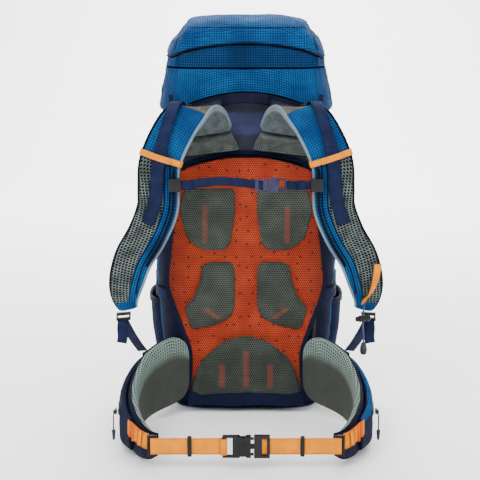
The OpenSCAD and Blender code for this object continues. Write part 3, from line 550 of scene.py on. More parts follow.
outer = bag_rows(bag_ranks, -0.0012, 0.0022)
inner = [even_ring(z, -0.0060) for z in [*bag_ranks[:2:-1], 0.0092]]
bag_wall = skin("bag_wall", outer, caps=False, middle=48, parts=bag_panel)
bag_lining = skin("bag_lining", np.array(inner), caps=False, parts=lambda i, j: 3)
join = bmesh.new()
join.from_mesh(bag_wall)
join.from_mesh(bag_lining)
join.verts.ensure_lookup_table()
n_outer, n_inner = len(bag_wall.vertices), len(bag_lining.vertices)
weave = join.loops.layers.uv["weave"]
for j in range(BAG_ROUND):
    k = (j + 1) % BAG_ROUND
    top = [n_outer - BAG_ROUND + j, n_outer - BAG_ROUND + k, n_outer + k, n_outer + j]
    join.faces.new([join.verts[at] for at in top]).material_index = 0
for ring, kind in ((range(BAG_ROUND), 0), (range(n_outer + n_inner - BAG_ROUND, n_outer + n_inner), 3)):
    cap = join.faces.new([join.verts[k] for k in ring])
    cap.material_index = kind
    for corner in cap.loops:
        corner[weave].uv = corner.vert.co[:2]
bmesh.ops.recalc_face_normals(join, faces=join.faces)
bag_mesh = bpy.data.meshes.new("bag_body")
join.to_mesh(bag_mesh)
join.free()
finished("bag_body", bag_mesh, "pack", [NAVY_CLOTH, BLUE_RIPSTOP, NAVY_CLOTH, PALE_LINING], ["main_bag"])

# The collar: thin cloth gathered above the rim, with a rolled hem at its mouth.
collar_heights = np.array([600.6, 606, 612, 618, 624, 630, 634, 636.5]) * MM
collar = []
for z in collar_heights:
    ring = even_ring(z, -0.0014, 144)
    out = unit((ring - np.array([0, 0, z])) * np.array([1, 1, 0]))
    gather = np.array([math.sin(k * math.tau / 6) for k in range(144)]) * 0.0008 * min(1, (z - 0.6) / 0.02)
    collar.append(ring + out * (gather - 0.0006)[:, None])
outside = collar + [collar[-1] + np.array([0, 0, 0.0008])]
inside = []
for ring in reversed(outside):
    out = unit((ring - np.array([0, 0, ring[0, 2]])) * np.array([1, 1, 0]))
    inside.append(ring - out * 0.0012)
collar_rows = np.array(outside + inside)
collar_mesh = skin("snow_collar_cloth", np.concatenate([collar_rows, collar_rows[:1]]), caps=False)
finished("snow_collar_cloth", collar_mesh, "pack", [COLLAR_CLOTH], ["snow_collar"])

# ---------------------------------------------------------------- base panel
# A stiffened navy panel closes the bag's foot. Its edge is bound with a rolled tape
# where it meets the walls, and its underside is flat.
base_rows = [even_ring(0.0, -0.003), even_ring(0.0006, -0.0008), even_ring(0.0022, 0.0006),
             even_ring(0.0040, -0.0002)]
for row, z in zip(base_rows, (0.0, 0.0006, 0.0022, 0.0040)):
    row[:, 2] = z
TOUGH_CLOTH = plain_cloth("tough_base_cloth", "10162C", "1E2745", 0.0018, 0.6)
finished("base_sheet", skin("base_sheet", np.array(base_rows)), "pack", [TOUGH_CLOTH], ["base_panel"])

# ---------------------------------------------------------------- frame inside the back
# A thin plastic sheet and two flat alloy stays sit between the bag and the back pads.
# They keep their CAD shape and only show at the edges.
HARD_SHEET = moulded("frame_sheet_plastic", "1B1C20", "2C2D33", 0.5)
brushed = Finish("brushed_alloy", rough=0.35, metal=1.0, own_map=False)
streak = brushed.cloud(0.004, 2, stretch=(1, 1, 0.03))
STAY_ALLOY = brushed.done(brushed.blend(streak, "9A9DA2", "C6C8CC"), streak, 0.00005)
for node, skin_of in (("frame_sheet", HARD_SHEET), ("frame_stays", STAY_ALLOY)):
    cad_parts[node].data.materials.clear()
    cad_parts[node].data.materials.append(skin_of)

# Each stay sits in a sewn navy sleeve, which is what shows in the gap under the yoke.
stay_points = np.array([v.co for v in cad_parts["frame_stays"].data.vertices])
stay_points = stay_points[stay_points[:, 0] > 0]
for sign, side, _ in sides:
    along = np.array([(sign * stay_points[:, 0].mean(), stay_points[:, 1].mean() - 0.0002, z)
                      for z in np.linspace(0.40, 0.53, 14)])
    wide, thick = np.ptp(stay_points[:, 0]) / 2 + 0.002, 0.0026
    rows = [[p + np.array([wide * power(math.cos(a), 0.3), thick * power(math.sin(a), 0.6), 0])
             for a in np.linspace(0, math.tau, 24, endpoint=False)] for p in along]
    finished(f"stay_sleeve_{side}", skin("sleeve", rows), "pack", [NAVY_CLOTH])

# ---------------------------------------------------------------- back panel
# Orange-red spacer mesh is stretched over the frame and bound in navy. Five foam pads
# under grey mesh are laid on it, leaving a channel for air down the middle.
PANEL_LOW, YOKE_LOW, YOKE_HIGH, YOKE_HALF = 0.030, 0.480, 0.588, 0.126


def panel_height(share):
    return PANEL_LOW + (YOKE_LOW - 0.004 - PANEL_LOW) * share


def yoke_top(x):
    return YOKE_HIGH - 0.033 * (x / YOKE_HALF) ** 2


def yoke_bottom(x):
    return YOKE_LOW - 0.027 * (x / 0.121) ** 2


PANEL_SIDE = np.array([(.02, .75), (.18, .72), (.29, .82), (.46, 1), (.58, .99), (.74, .93), (.9, .86)])
panel_run = flow(np.column_stack([PANEL_SIDE, np.zeros(7)]), 6)


def panel_half(z):
    return 0.143 * np.interp((z - PANEL_LOW) / (YOKE_LOW - 0.004 - PANEL_LOW), panel_run[:, 0], panel_run[:, 1])


UPPER_PAD = [(18, .875), (19, .77), (26, .65), (34, .615), (65, .61), (90, .625), (108, .67), (122, .79),
             (112, .875)]
LOWER_PAD = [(18, .56), (18, .37), (28, .33), (60, .295), (100, .275), (117, .37), (98, .43), (87, .5),
             (80, .56),
             (70, .575), (24, .575)]
LUMBAR = [(0, .265), (28, .254), (52, .228), (80, .172), (95, .11), (104, .06), (108, .004)]
LUMBAR += [(-x, f) for x, f in reversed(LUMBAR[1:])]


def pad_outline(shares, sign=1):
    return np.array([(sign * x * MM, panel_height(f)) for x, f in shares])


def spacer_mesh(name, thread, under, hole, pitch, radius, slots=()):
    """Knitted spacer mesh with a honeycomb of holes, set out on the back's own plane.

    slots lists (x, z, half width, half height, slant) of channels where orange shows through.
    """
    f = Finish(name, rough=0.85, sheen=0.04, own_map=False, gloss=0.15)
    x, _, z = f.axes()
    wobble = f.times(f.minus(f.cloud(0.03, 2), 0.5), pitch * 0.5)
    hx = f.plus(x, wobble)
    hz = f.plus(z, wobble)
    pit = f.dots(hx, hz, pitch, radius, pitch * 0.1)
    knit = f.lines(f.plus(hx, f.times(hz, 0.577)), pitch / 2, pitch * 0.1, pitch * 0.1)
    tone = f.plus(f.times(knit, 0.4), f.ramp(f.cloud(0.04, 3), 0.3, 0.8, 0, 0.5))
    cloth = f.blend(tone, under, thread)
    floor_of_pit = hole
    for cx, cz, hw, hh, slant in slots:
        mx = f.minus(f.math("ABSOLUTE", x), cx)
        mx = f.math("ABSOLUTE", f.minus(mx, f.times(f.minus(z, cz), slant)))
        mz = f.math("ABSOLUTE", f.minus(z, cz))
        inside = f.times(f.ramp(mx, hw - 0.001, hw + 0.001, 1, 0), f.ramp(mz, hh - 0.003, hh + 0.003, 1, 0))
        floor_of_pit = f.blend(inside, floor_of_pit, "7E1A0E")
        cloth = f.blend(f.times(inside, 0.10), cloth, "8C2A18")
    return f.done(f.blend(pit, cloth, floor_of_pit), f.minus(1.0, pit), 0.0009)


def orange_mesh():
    """Open orange mesh over dark backing, with fine needle holes and scattered round vents."""
    f = Finish("orange_mesh", rough=0.8, sheen=0.04, own_map=False, gloss=0.15)
    x, _, z = f.axes()
    pitch = 0.0038
    pit = f.dots(x, z, pitch, pitch * 0.36, pitch * 0.1)
    knit = f.lines(f.minus(x, f.times(z, 0.577)), pitch / 2, pitch * 0.1, pitch * 0.1)
    cloth = f.blend(f.plus(f.times(knit, 0.3), f.ramp(f.cloud(0.03, 3), 0.3, 0.75, 0, 0.7)),
                    "9C2C12", "BE4620")
    rim = f.ramp(f.math("ABSOLUTE", x), 0.10, 0.135)
    low = f.ramp(z, 0.062, 0.105, 1, 0)
    cloth = f.blend(f.times(f.math("MAXIMUM", rim, low), 0.6), cloth, "7A2C1A")
    plane = f.add("ShaderNodeCombineXYZ")
    f.feed(plane.inputs[0], x)
    f.feed(plane.inputs[1], z)
    spots = f.add("ShaderNodeTexVoronoi", voronoi_dimensions="2D")
    f.feed(spots.inputs["Vector"], plane.outputs[0])
    spots.inputs["Scale"].default_value = 1 / 0.0225
    spots.inputs["Randomness"].default_value = 0.55
    vent = f.ramp(spots.outputs["Distance"], 0.085, 0.105, 1, 0)
    woven = f.blend(f.times(pit, 0.88), cloth, "2C0E0A")
    return f.done(f.blend(f.times(vent, 0.9), woven, "141A20"), f.minus(1.0, f.math("MAXIMUM", pit, vent)),
                  0.0007)


ORANGE_MESH = orange_mesh()
PAD_UPPER = spacer_mesh("grey_mesh_upper", "565C54", "31362F", "030403", 0.0043, 0.00125,
                        [(0.074, 0.354, 0.0048, 0.034, 0)])
PAD_LOWER = spacer_mesh("grey_mesh_lower", "525850", "2E332D", "030403", 0.0043, 0.00125,
                        [(0.062, 0.190, 0.006, 0.010, 1.25)])
PAD_LUMBAR = spacer_mesh("grey_mesh_lumbar", "4C514B", "2B302B", "030403", 0.0040, 0.00115,
                         [(0.0, 0.085, 0.0052, 0.034, 0), (0.044, 0.072, 0.0052, 0.022, 0)])


def resample(outline, count, closed=True):
    p = np.vstack([outline, outline[:1]]) if closed else np.asarray(outline)
    run = np.insert(np.linalg.norm(np.diff(p, axis=0), axis=1).cumsum(), 0, 0)
    want = np.linspace(0, run[-1], count, endpoint=not closed)
    return np.stack([np.interp(want, run, p[:, k]) for k in range(p.shape[1])], 1)


def relaxed(outline, passes):
    """Rounds an outline's corners by averaging each point with its neighbours."""
    p = outline.copy()
    for _ in range(passes):
        p = 0.5 * p + 0.25 * (np.roll(p, 1, 0) + np.roll(p, -1, 0))
    return p


def crowned_pad(name, outline, low, high):
    """Closed cushion on the XZ plane: its rim at y high, its face swelling out to y low."""
    ring = relaxed(resample(outline, 72), 2)
    middle = ring.mean(0)
    shares = [1, 1.0, 0.985, 0.94, 0.86, 0.74, 0.58, 0.4, 0.2, 0.04]
    depth = [high, high - 0.004, high + (low - high) * 0.55, high + (low - high) * 0.8]
    depth += [high + (low - high) * (0.8 + 0.2 * (1 - s ** 2.2)) for s in shares[4:]]
    rows = []
    for s, y in zip([0.04, 0.5, 0.97] + shares, [high] * 3 + depth):
        flat = middle + (ring - middle) * s
        rows.append(np.column_stack([flat[:, 0], np.full(len(flat), y), flat[:, 1]]))
    return skin(name, rows)


def puff(obj, cap, pressure=4.0, voxel=0.005, frames=20):
    """Blows a cushion up as cloth under pressure, and caps how far each point may move."""
    scene = bpy.context.scene
    remesh = obj.modifiers.new("even", "REMESH")
    remesh.mode, remesh.voxel_size = "VOXEL", voxel
    view = bpy.context.evaluated_depsgraph_get()
    even = bpy.data.meshes.new_from_object(obj.evaluated_get(view))
    obj.modifiers.clear()
    obj.data = even
    start = np.array([v.co for v in even.vertices])
    cloth = obj.modifiers.new("puff", "CLOTH")
    cloth.settings.use_pressure = True
    cloth.settings.uniform_pressure_force = pressure
    cloth.settings.effector_weights.gravity = 0
    cloth.settings.quality = 5
    cloth.point_cache.frame_start, cloth.point_cache.frame_end = 1, frames
    for k in range(1, frames + 1):
        scene.frame_set(k)
    view = bpy.context.evaluated_depsgraph_get()
    blown = bpy.data.meshes.new_from_object(obj.evaluated_get(view))
    obj.modifiers.clear()
    scene.frame_set(1)
    now = np.array([v.co for v in blown.vertices])
    step = now - start
    size = np.linalg.norm(step, axis=1, keepdims=True)
    step *= np.minimum(1, cap / np.maximum(size, 1e-9))
    blown.vertices.foreach_set("co", (start + step).ravel())
    obj.data = blown
    blown.shade_smooth()
    return obj


def set_between(obj, axis, low, high):
    """Keeps a swollen piece between two planes, so that it stays in its own room."""
    co = np.array([v.co for v in obj.data.vertices])
    co[:, axis] = np.clip(co[:, axis], low, high)
    obj.data.vertices.foreach_set("co", co.ravel())


def repaint(obj, *materials):
    obj.data.materials.clear()
    for m in materials:
        obj.data.materials.append(m)


PAD_REAR = -0.1219                  # where the back pads start


def smoothed(obj):
    """One live level of subdivision."""
    smoother = obj.modifiers.new("smooth", "SUBSURF")
    smoother.levels = smoother.render_levels = 1


def back_pad(name, outline, finish, face):
    pad = finished(name, crowned_pad(name, outline, face, PAD_REAR), None, [finish])
    puff(pad, 0.004)
    set_between(pad, 1, face - 0.003, PAD_REAR + 0.0001)
    repaint(pad, finish)
    smoothed(pad)
    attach(pad, "pack")
    return pad


# The pads show through their cut-outs, so the sheet's thread lies just behind their faces.
PAD_FACE = FACE - 0.0045
for node, shares, finish in (("upper_back_pads", UPPER_PAD, PAD_UPPER),
                             ("lower_back_pads", LOWER_PAD, PAD_LOWER)):
    for sign, side, _ in sides:
        made = back_pad(f"{node[:-1]}_{side}", pad_outline(shares, sign), finish, PAD_FACE)
        if sign > 0:
            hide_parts(node)
lumbar = back_pad("lumbar_cushion", pad_outline(LUMBAR), PAD_LUMBAR, PAD_FACE)
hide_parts("lumbar_pad")

# The orange sheet dips into the seam around each pad and into the air channel.
pad_rings = [relaxed(resample(pad_outline(s, g), 72), 2) for s in (UPPER_PAD, LOWER_PAD) for g in (1, -1)]
pad_rings.append(relaxed(resample(pad_outline(LUMBAR), 96), 2))


def gap_to(ring, x, z):
    """Distance from a point to a closed outline, negative inside it."""
    a, b = ring, np.roll(ring, -1, 0)
    d = b - a
    p = np.array([x, z])
    t = np.clip(((p - a) * d).sum(1) / np.maximum((d * d).sum(1), 1e-12), 0, 1)
    near = np.linalg.norm(a + d * t[:, None] - p, axis=1).min()
    cross = ((a[:, 1] > z) != (b[:, 1] > z)) & (x < d[:, 0] * (z - a[:, 1]) / (d[:, 1] + 1e-12) + a[:, 0])
    return -near if cross.sum() % 2 else near


heights = np.linspace(PANEL_LOW + 0.008, YOKE_LOW - 0.006, 76)
columns = np.linspace(-1, 1, 53)
sheet_rows = []
for z in heights:
    row = []
    for c in columns:
        x = c * (panel_half(z) - 0.002)
        zz = min(z, yoke_bottom(x) - 0.005) if z > 0.44 else z
        away = min(gap_to(r, x, zz) for r in pad_rings)
        dip = 0.0032 * math.exp(-(max(away, 0) / 0.006) ** 2) if away > -0.003 else 0.006
        edge = 0.0016 * (abs(c) ** 6)
        row.append((x, FACE + 0.0004 + dip + edge - 0.0006 * noise.noise(Vector((x * 40, zz * 40, 1.7))), zz))
    sheet_rows.append(row)
face_rows = np.array(sheet_rows)
rear_rows = face_rows.copy()
rear_rows[:, :, 1] = FACE + 0.0090
loop_rows = [np.concatenate([f, b[::-1]]) for f, b in zip(face_rows, rear_rows)]
panel_sheet = finished("orange_back_sheet", skin("orange_back_sheet", np.array(loop_rows)), "pack",
                       [ORANGE_MESH],
                       ["back_mesh"])

# The pads' bound edges: a thin navy tape follows the sheet's rim, and a wider band
# of navy cloth closes the panel's foot.
BINDING = plain_cloth("navy_binding", "080D1E", "121A36", 0.0009, 0.6)


WEB_THICK = 0.0018


def flat_rows(path, width, thick, across, round_off=0.45):
    """Rings of a flat strap: path in space, width along the direction across (one or per point)."""
    p = np.asarray(path, float)[:, :3]
    t = headings(p)
    side = np.broadcast_to(np.asarray(across, float), p.shape)
    w = unit(side - (side * t).sum(1, keepdims=True) * t)
    n = np.cross(t, w)
    wide = np.broadcast_to(np.asarray(width, float), len(p))
    deep = np.broadcast_to(np.asarray(thick, float), len(p))
    edge = deep * round_off
    profile = [(-1, 0, 0), (-1, 1, .3), (-.6, 1, 0), (0, 1, 0), (.6, 1, 0), (1, 1, .3),
               (1, 0, 0), (1, -1, .3), (.6, -1, 0), (0, -1, 0), (-.6, -1, 0), (-1, -1, .3)]
    rows = []
    for i in range(len(p)):
        ring = []
        for a, b, inset in profile:
            x = a * (wide[i] / 2 - inset * edge[i])
            ring.append(p[i] + x * w[i] + b * deep[i] / 2 * n[i])
        rows.append(ring)
    return np.array(rows)


def band(name, body, finish, path, width, thick=WEB_THICK, across=UP, nodes=()):
    """A flat strap or tape along a path."""
    return finished(name, skin(name, flat_rows(path, width, thick, across)), body, [finish], nodes)


def webbing(name, dark, light, edge=None, rib=0.0016):
    """Woven tape: ribs along it, picks across it, and tighter selvedges."""
    f = Finish(name, rough=0.75, sheen=0.0, gloss=0.1)
    u, v = f.axes()[:2]
    ribs = f.math("SINE", f.times(v, math.tau / rib))
    picks = f.math("SINE", f.plus(f.times(u, math.tau / (rib * 0.9)),
                                  f.times(f.math("SIGN", ribs), 1.57)))
    relief = f.times(f.math("ABSOLUTE", ribs), f.plus(1.0, f.times(picks, 0.35)))
    tone = f.plus(f.times(relief, 0.42), f.times(f.ramp(f.cloud(0.02, 4), 0.3, 0.75), 0.5))
    colour = f.blend(tone, dark, light)
    if edge:
        rim = f.ramp(f.math("PINGPONG", f.plus(f.share()[1], 1.0), 0.5), 0.0, 0.16, 1, 0)
        colour = f.blend(f.times(rim, 0.6), colour, edge)
    return f.done(colour, relief, 0.00035)


NAVY_WEB = webbing("navy_webbing", "0A1024", "1C2548", "070B1C")
ORANGE_WEB = webbing("orange_webbing", "D87200", "F89C00", "CC5200")

rim_path = np.array([(panel_half(z) - 0.001, FACE + 0.0022, min(z, 0.470))
                     for z in np.linspace(PANEL_LOW + 0.006, 0.474, 60)])
for sign, side, flip in sides:
    edge_path = rim_path * flip
    band(f"panel_binding_{side}", "pack", BINDING, edge_path, 0.0085, 0.0032,
         (1, 0.35 * sign, 0))
foot = [(x, FACE + 0.0016, PANEL_LOW - 0.004 + 0.0012 * math.sin(x * 60))
        for x in np.linspace(-0.108, 0.108, 40)]
band("panel_foot_band", "pack", NAVY_CLOTH, foot, 0.026, 0.0048)

# ---------------------------------------------------------------- yoke and grab loop
# The padded yoke joins the harness to the frame. Two slanted seams and one level seam
# cross it, and a doubled webbing loop for lifting the pack is bar-tacked to its top.
YOKE_REAR, YOKE_FACE = -0.1219, -0.1287


def yoke_rows():
    rows = []
    for s in np.linspace(0, 1, 34):
        row = []
        for x in np.linspace(-YOKE_HALF, YOKE_HALF, 61):
            low, high = yoke_bottom(x), yoke_top(x)
            z = low + (high - low) * s
            away = min(abs(s) * (high - low), abs(1 - s) * (high - low), YOKE_HALF - abs(x))
            puffed = 0.0012 + 0.0052 * min(1, away / 0.012) ** 0.5
            seam_level = abs(z - (0.531 - 2.4 * x * x)) if abs(x) < 0.075 else 1
            seam_slant = abs(abs(x) - (0.040 + (z - 0.53) * 0.62)) if z > 0.528 else 1
            groove = 0.0022 * math.exp(-(min(seam_level, seam_slant) / 0.0022) ** 2)
            ripple = 0.0009 * noise.noise(Vector((x * 28, z * 36, 5.5)))
            row.append((x, YOKE_REAR - puffed + groove + ripple, z))
        rows.append(row)
    return np.array(rows)


yoke_front = yoke_rows()
yoke_back = yoke_front.copy()
yoke_back[:, :, 1] = YOKE_REAR
yoke_loop = np.array([np.concatenate([a, b[::-1]]) for a, b in zip(yoke_front, yoke_back)])


def yoke_cloth():
    """Navy face cloth: paler brushed centre below the seam, darker above it."""
    f = Finish("yoke_cloth", rough=0.7, sheen=0.05, own_map=False)
    x, _, z = f.axes()
    over = f.plain_weave(x, z, 0.0011)
    low = f.times(f.ramp(z, 0.551, 0.557, 1, 0), f.ramp(z, 0.511, 0.519))
    middle = f.ramp(f.math("ABSOLUTE", x), 0.05, 0.085, 1, 0)
    tone = f.plus(f.times(over, 0.12), f.ramp(f.cloud(0.03, 4), 0.3, 0.75))
    upper = f.blend(tone, "04081A", "0A1430")
    lower = f.blend(tone, "131C3E", "202C58")
    return f.done(f.blend(f.times(low, middle), upper, lower), over, 0.0002)


yoke_mesh = skin("yoke_pad", yoke_loop)
yoke = finished("yoke_pad", yoke_mesh, "pack", [yoke_cloth()], ["yoke_panel"])
for name, trim, height in (("yoke_lower_tape", yoke_bottom, 0.0085), ("yoke_upper_tape", yoke_top, 0.0065)):
    lift = 0.003 if trim is yoke_bottom else -0.003
    line = [(x, YOKE_FACE + 0.0022, trim(x) + lift) for x in np.linspace(-0.1245, 0.1245, 49)]
    band(name, "pack", BINDING, line, height, 0.0046)

LOOP_CLOTH = webbing("grab_loop_webbing", "0A0B1C", "191A34", "070714", 0.0019)
arch = [(-0.042 * math.cos(a), YOKE_FACE - 0.004 - 0.022 * math.sin(a), 0.574 + 0.008 * math.sin(a))
        for a in np.linspace(0, math.pi, 33)]
band("grab_loop", "pack", LOOP_CLOTH, arch, 0.019, 0.0036, nodes=["haul_loop"])
inner_fold = [(-0.0395 * math.cos(a), YOKE_FACE - 0.0035 - 0.0198 * math.sin(a), 0.574 + 0.008 * math.sin(a))
              for a in np.linspace(0.25, math.pi - 0.25, 27)]
band("grab_loop_fold", "pack", NAVY_WEB, inner_fold, 0.012)

# ---------------------------------------------------------------- strap roots
# Each shoulder strap is fixed to the yoke by a broad padded root, faced with grey-brown
# mesh and rolled over a pale edge. The swinging part of the strap begins just above it.
STRAP = points((68, -157.1, 520.7), (76, -177.1, 551), (92, -201.1, 562), (114, -223.1, 545),
               (135, -235.1, 510),
               (148, -239.1, 475), (150, -241.1, 440), (152, -241.1, 400), (170, -239.1, 355),
               (195, -233.1, 312),
               (209, -223.1, 268), (213, -209.1, 235), (208, -199.1, 212))
STRAP_WIDE = np.array([88, 80, 74, 70, 70, 70, 70, 70, 68, 66, 60, 46, 30]) * MM
STRAP_DEEP = np.array([15, 16, 16, 16, 16, 16, 16, 16, 16, 15, 14, 12, 9]) * MM
strap_line = flow(np.column_stack([STRAP, STRAP_WIDE, STRAP_DEEP]), 6)
SIDEWAYS = np.array([1.0, 0, 0])
ROOT = flow(np.column_stack([points((62, -134.7, 483), (64, -137.7, 498), (68, -155.1, 514)),
                             np.array([100, 94, 88]) * MM, np.array([10, 12, 15]) * MM]), 8)


def cushion_rows(line, across, face_puff=0.0, sides_at=26, crease_depth=0.0, seed=0.0):
    """Rings of a padded strap: flat back, rounded edges, and a slightly crowned face."""
    p = line[:, :3]
    t = headings(p)
    side = np.broadcast_to(np.asarray(across, float), p.shape)
    w = unit(side - (side * t).sum(1, keepdims=True) * t)
    n = np.cross(t, w)
    rows = []
    for i in range(len(p)):
        half, thick = line[i, 3] / 2, line[i, 4]
        ring = []
        for k in range(sides_at):
            a = 2 * math.pi * (k + 0.5) / sides_at
            x = power(math.cos(a), 0.42) * half
            y = power(math.sin(a), 0.62) * thick / 2
            swell = face_puff * (1 - (x / half) ** 2)
            fold = crease_depth * noise.noise(Vector(p[i] * 26) + Vector((x * 30, 0, seed)))
            ring.append(p[i] + x * w[i] + (y + math.copysign(swell, y) + math.copysign(fold, y)) * n[i])
        rows.append(ring)
    return np.array(rows)


def woven_mesh(name, thread, shade, hole, pitch=0.0048, slant=0.5, radius=0.34, own_map=True):
    """Open spacer mesh: slanted dark holes between pale threads, set out along the piece."""
    f = Finish(name, rough=0.85, sheen=0.04, gloss=0.15, own_map=own_map)
    u, v = f.axes()[:2] if own_map else (f.axes()[2], f.axes()[0])
    lean = f.plus(v, f.times(u, slant))
    pit = f.dots(lean, u, pitch, pitch * radius, pitch * 0.12)
    thin = f.lines(f.minus(v, f.times(u, slant)), pitch / 3, pitch / 14, pitch / 12)
    tone = f.plus(f.times(thin, 0.4), f.ramp(f.cloud(0.015, 3), 0.3, 0.8))
    return f.done(f.blend(pit, f.blend(tone, shade, thread), hole), f.minus(1.0, pit), 0.0009)


ROOT_MESH = woven_mesh("root_mesh", "565E5A", "3A413D", "0A0C0B", 0.0042, 0.3, 0.26)
ROLLED_EDGE = plain_cloth("rolled_edge", "5E6E7C", "8496A4", 0.0012, 0.75)
for _, side, flip in sides:
    rows = cushion_rows(ROOT, SIDEWAYS, 0.0, 30)[:-1] * flip
    root = finished(f"strap_root_{side}", skin("root", rows), "pack", [ROOT_MESH], paired(side, "strap_roots"))

# ---------------------------------------------------------------- webbing hardware
# Ladder locks are black moulded frames that grip a webbing by friction. Those of the
# load lifters and of the compression straps are fixed to the pack itself.


def casting(name, node, body, width, steps=2, material=PLASTIC):
    """A moulded copy of a CAD piece: faces merged, and every sharp edge rounded."""
    work = bmesh.new()
    work.from_mesh(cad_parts[node].data)
    bmesh.ops.remove_doubles(work, verts=work.verts, dist=1e-6)
    bmesh.ops.dissolve_limit(work, angle_limit=math.radians(2), verts=work.verts, edges=work.edges)
    sharp = [e for e in work.edges if len(e.link_faces) == 2 and e.calc_face_angle(0) > math.radians(28)]
    bmesh.ops.bevel(work, geom=sharp, offset=width, segments=steps, profile=0.6, affect="EDGES",
                    clamp_overlap=True)
    bmesh.ops.triangulate(work, faces=[face for face in work.faces if len(face.verts) > 4])
    bmesh.ops.recalc_face_normals(work, faces=work.faces)
    mesh = bpy.data.meshes.new(name)
    work.to_mesh(mesh)
    work.free()
    for layer in list(mesh.attributes):
        if layer.name in ("sharp_edge", "sharp_face"):
            mesh.attributes.remove(layer)
    made = finished(name, mesh, body, [material], [node], smooth=False)
    mesh.shade_smooth()
    mesh.set_sharp_from_angle(angle=math.radians(38))
    return made


for name, node, body in (("pack_ladder_locks", "webbing_ladder_locks", "pack"),
                         ("strap_ladder_locks_moulded", "strap_ladder_locks", "harness")):
    casting(name, node, body, 0.0009)


def ribbed_bar(name, a, b, radius, body, ribs=7):
    """Grip bar of a ladder lock, with ribs that bite into the webbing."""
    profile = [(0, 0.0005), (0, radius)]
    for k in range(ribs):
        s = (k + 0.5) / ribs
        profile += [(s - 0.3 / ribs, radius), (s - 0.18 / ribs, radius * 1.22),
                    (s + 0.18 / ribs, radius * 1.22),
                    (s + 0.3 / ribs, radius)]
    profile += [(1, radius), (1, 0.0005)]
    return finished(name, turned(name, a, b, profile, 12), body, [PLASTIC])


for sign, side, _ in sides:
    ribbed_bar(f"lifter_lock_bar_{side}", (sign * 0.0995, -0.1352, 0.561), (sign * 0.1245, -0.1352, 0.561),
               0.0013, "pack")

# ---------------------------------------------------------------- side and front pockets
# Stretch-cloth pockets for bottles sit low on each side, with an elastic hem. A bulging
# zipped pocket of navy nylon with a blue yoke fills most of the far face.
POCKET_LOW, POCKET_HIGH, POCKET_DEEP = 0.024, 0.198, 0.019


def pocket_ring(z, off, count=64):
    f = min(max((z - POCKET_LOW) / (POCKET_HIGH - POCKET_LOW), 0), 1)
    bulge = POCKET_DEEP * math.sin(math.radians(20 + 110 * f)) ** 0.6 + off
    ring = []
    for k in range(count):
        a = math.radians(-90 + 180 * k / (count - 1))
        x = bag_half(z) - 0.03 + (0.03 + bulge) * max(math.cos(a), 0) ** 0.55
        ring.append((x, 0.008 + (0.074 + off) * power(math.sin(a), 0.8), z))
    return np.array(ring)


def stretch_cloth(name, dark, light):
    """Knitted stretch cloth: close columns of stitches."""
    f = Finish(name, rough=0.8, sheen=0.0, gloss=0.08)
    u, v = f.axes()[:2]
    column = f.math("ABSOLUTE", f.math("SINE", f.times(v, math.pi / 0.0017)))
    zig = f.math("SINE", f.plus(f.times(u, math.tau / 0.0021), f.times(column, 2.4)))
    tone = f.plus(f.times(column, 0.3), f.ramp(f.cloud(0.03, 4), 0.3, 0.8, 0, 0.7))
    return f.done(f.blend(tone, dark, light), f.plus(column, f.times(zig, 0.4)), 0.0004)


STRETCH = stretch_cloth("navy_stretch", "080D22", "131C3E")
for _, side, flip in sides:
    outside, inside = [], []
    for z in np.linspace(POCKET_LOW + 0.002, POCKET_HIGH - 0.001, 22):
        ring = pocket_ring(z, -0.0006)
        f = (z - POCKET_LOW) / (POCKET_HIGH - POCKET_LOW)
        sag = np.array([0.0016 * crease(*q, 0.04, 6.0) * math.sin(math.pi * min(f * 1.1, 1)) for q in ring])
        ring[:, 0] += sag
        outside.append(ring)
        inner_ring = ring.copy()
        inner_ring[:, 0] -= 0.0024
        inner_ring[:, 1] = 0.008 + (inner_ring[:, 1] - 0.008) * 0.97
        inside.append(inner_ring)
    rows = np.array(outside + inside[::-1] + outside[:1]) * flip
    cloth = skin("side_pocket", rows, closed=False)
    turn_out(cloth)
    finished(f"side_pocket_{side}", cloth, "pack", [STRETCH], paired(side, "side_pockets"))
    hem = pocket_ring(POCKET_HIGH - 0.005, 0.0006) * flip
    band(f"side_pocket_hem_{side}", "pack", BINDING, hem, 0.010, 0.0034)
    foot_hem = pocket_ring(POCKET_LOW + 0.004, 0.0004) * flip
    band(f"side_pocket_foot_{side}", "pack", BINDING, foot_hem, 0.007, 0.0026)

FRONT_LOW, FRONT_HIGH, FRONT_HALF = 0.070, 0.410, 0.100
ZIP_Z, ZIP_HALF = 0.366, 0.065


def front_outline(z, off=0.0, count=57):
    share = min(max((z - FRONT_LOW) / (FRONT_HIGH - FRONT_LOW), 0), 1)
    bulge = 0.006 + 0.024 * math.sin(math.pi * share) ** 0.5 + off
    base = bag_front(z) - 0.008
    ring = []
    for k in range(count):
        a = math.radians(-8 + 196 * k / (count - 1))
        ring.append(((FRONT_HALF + off) * power(math.cos(a), 0.5),
                     base + (bulge + 0.008) * max(math.sin(a), -0.1), z))
    return np.array(ring)


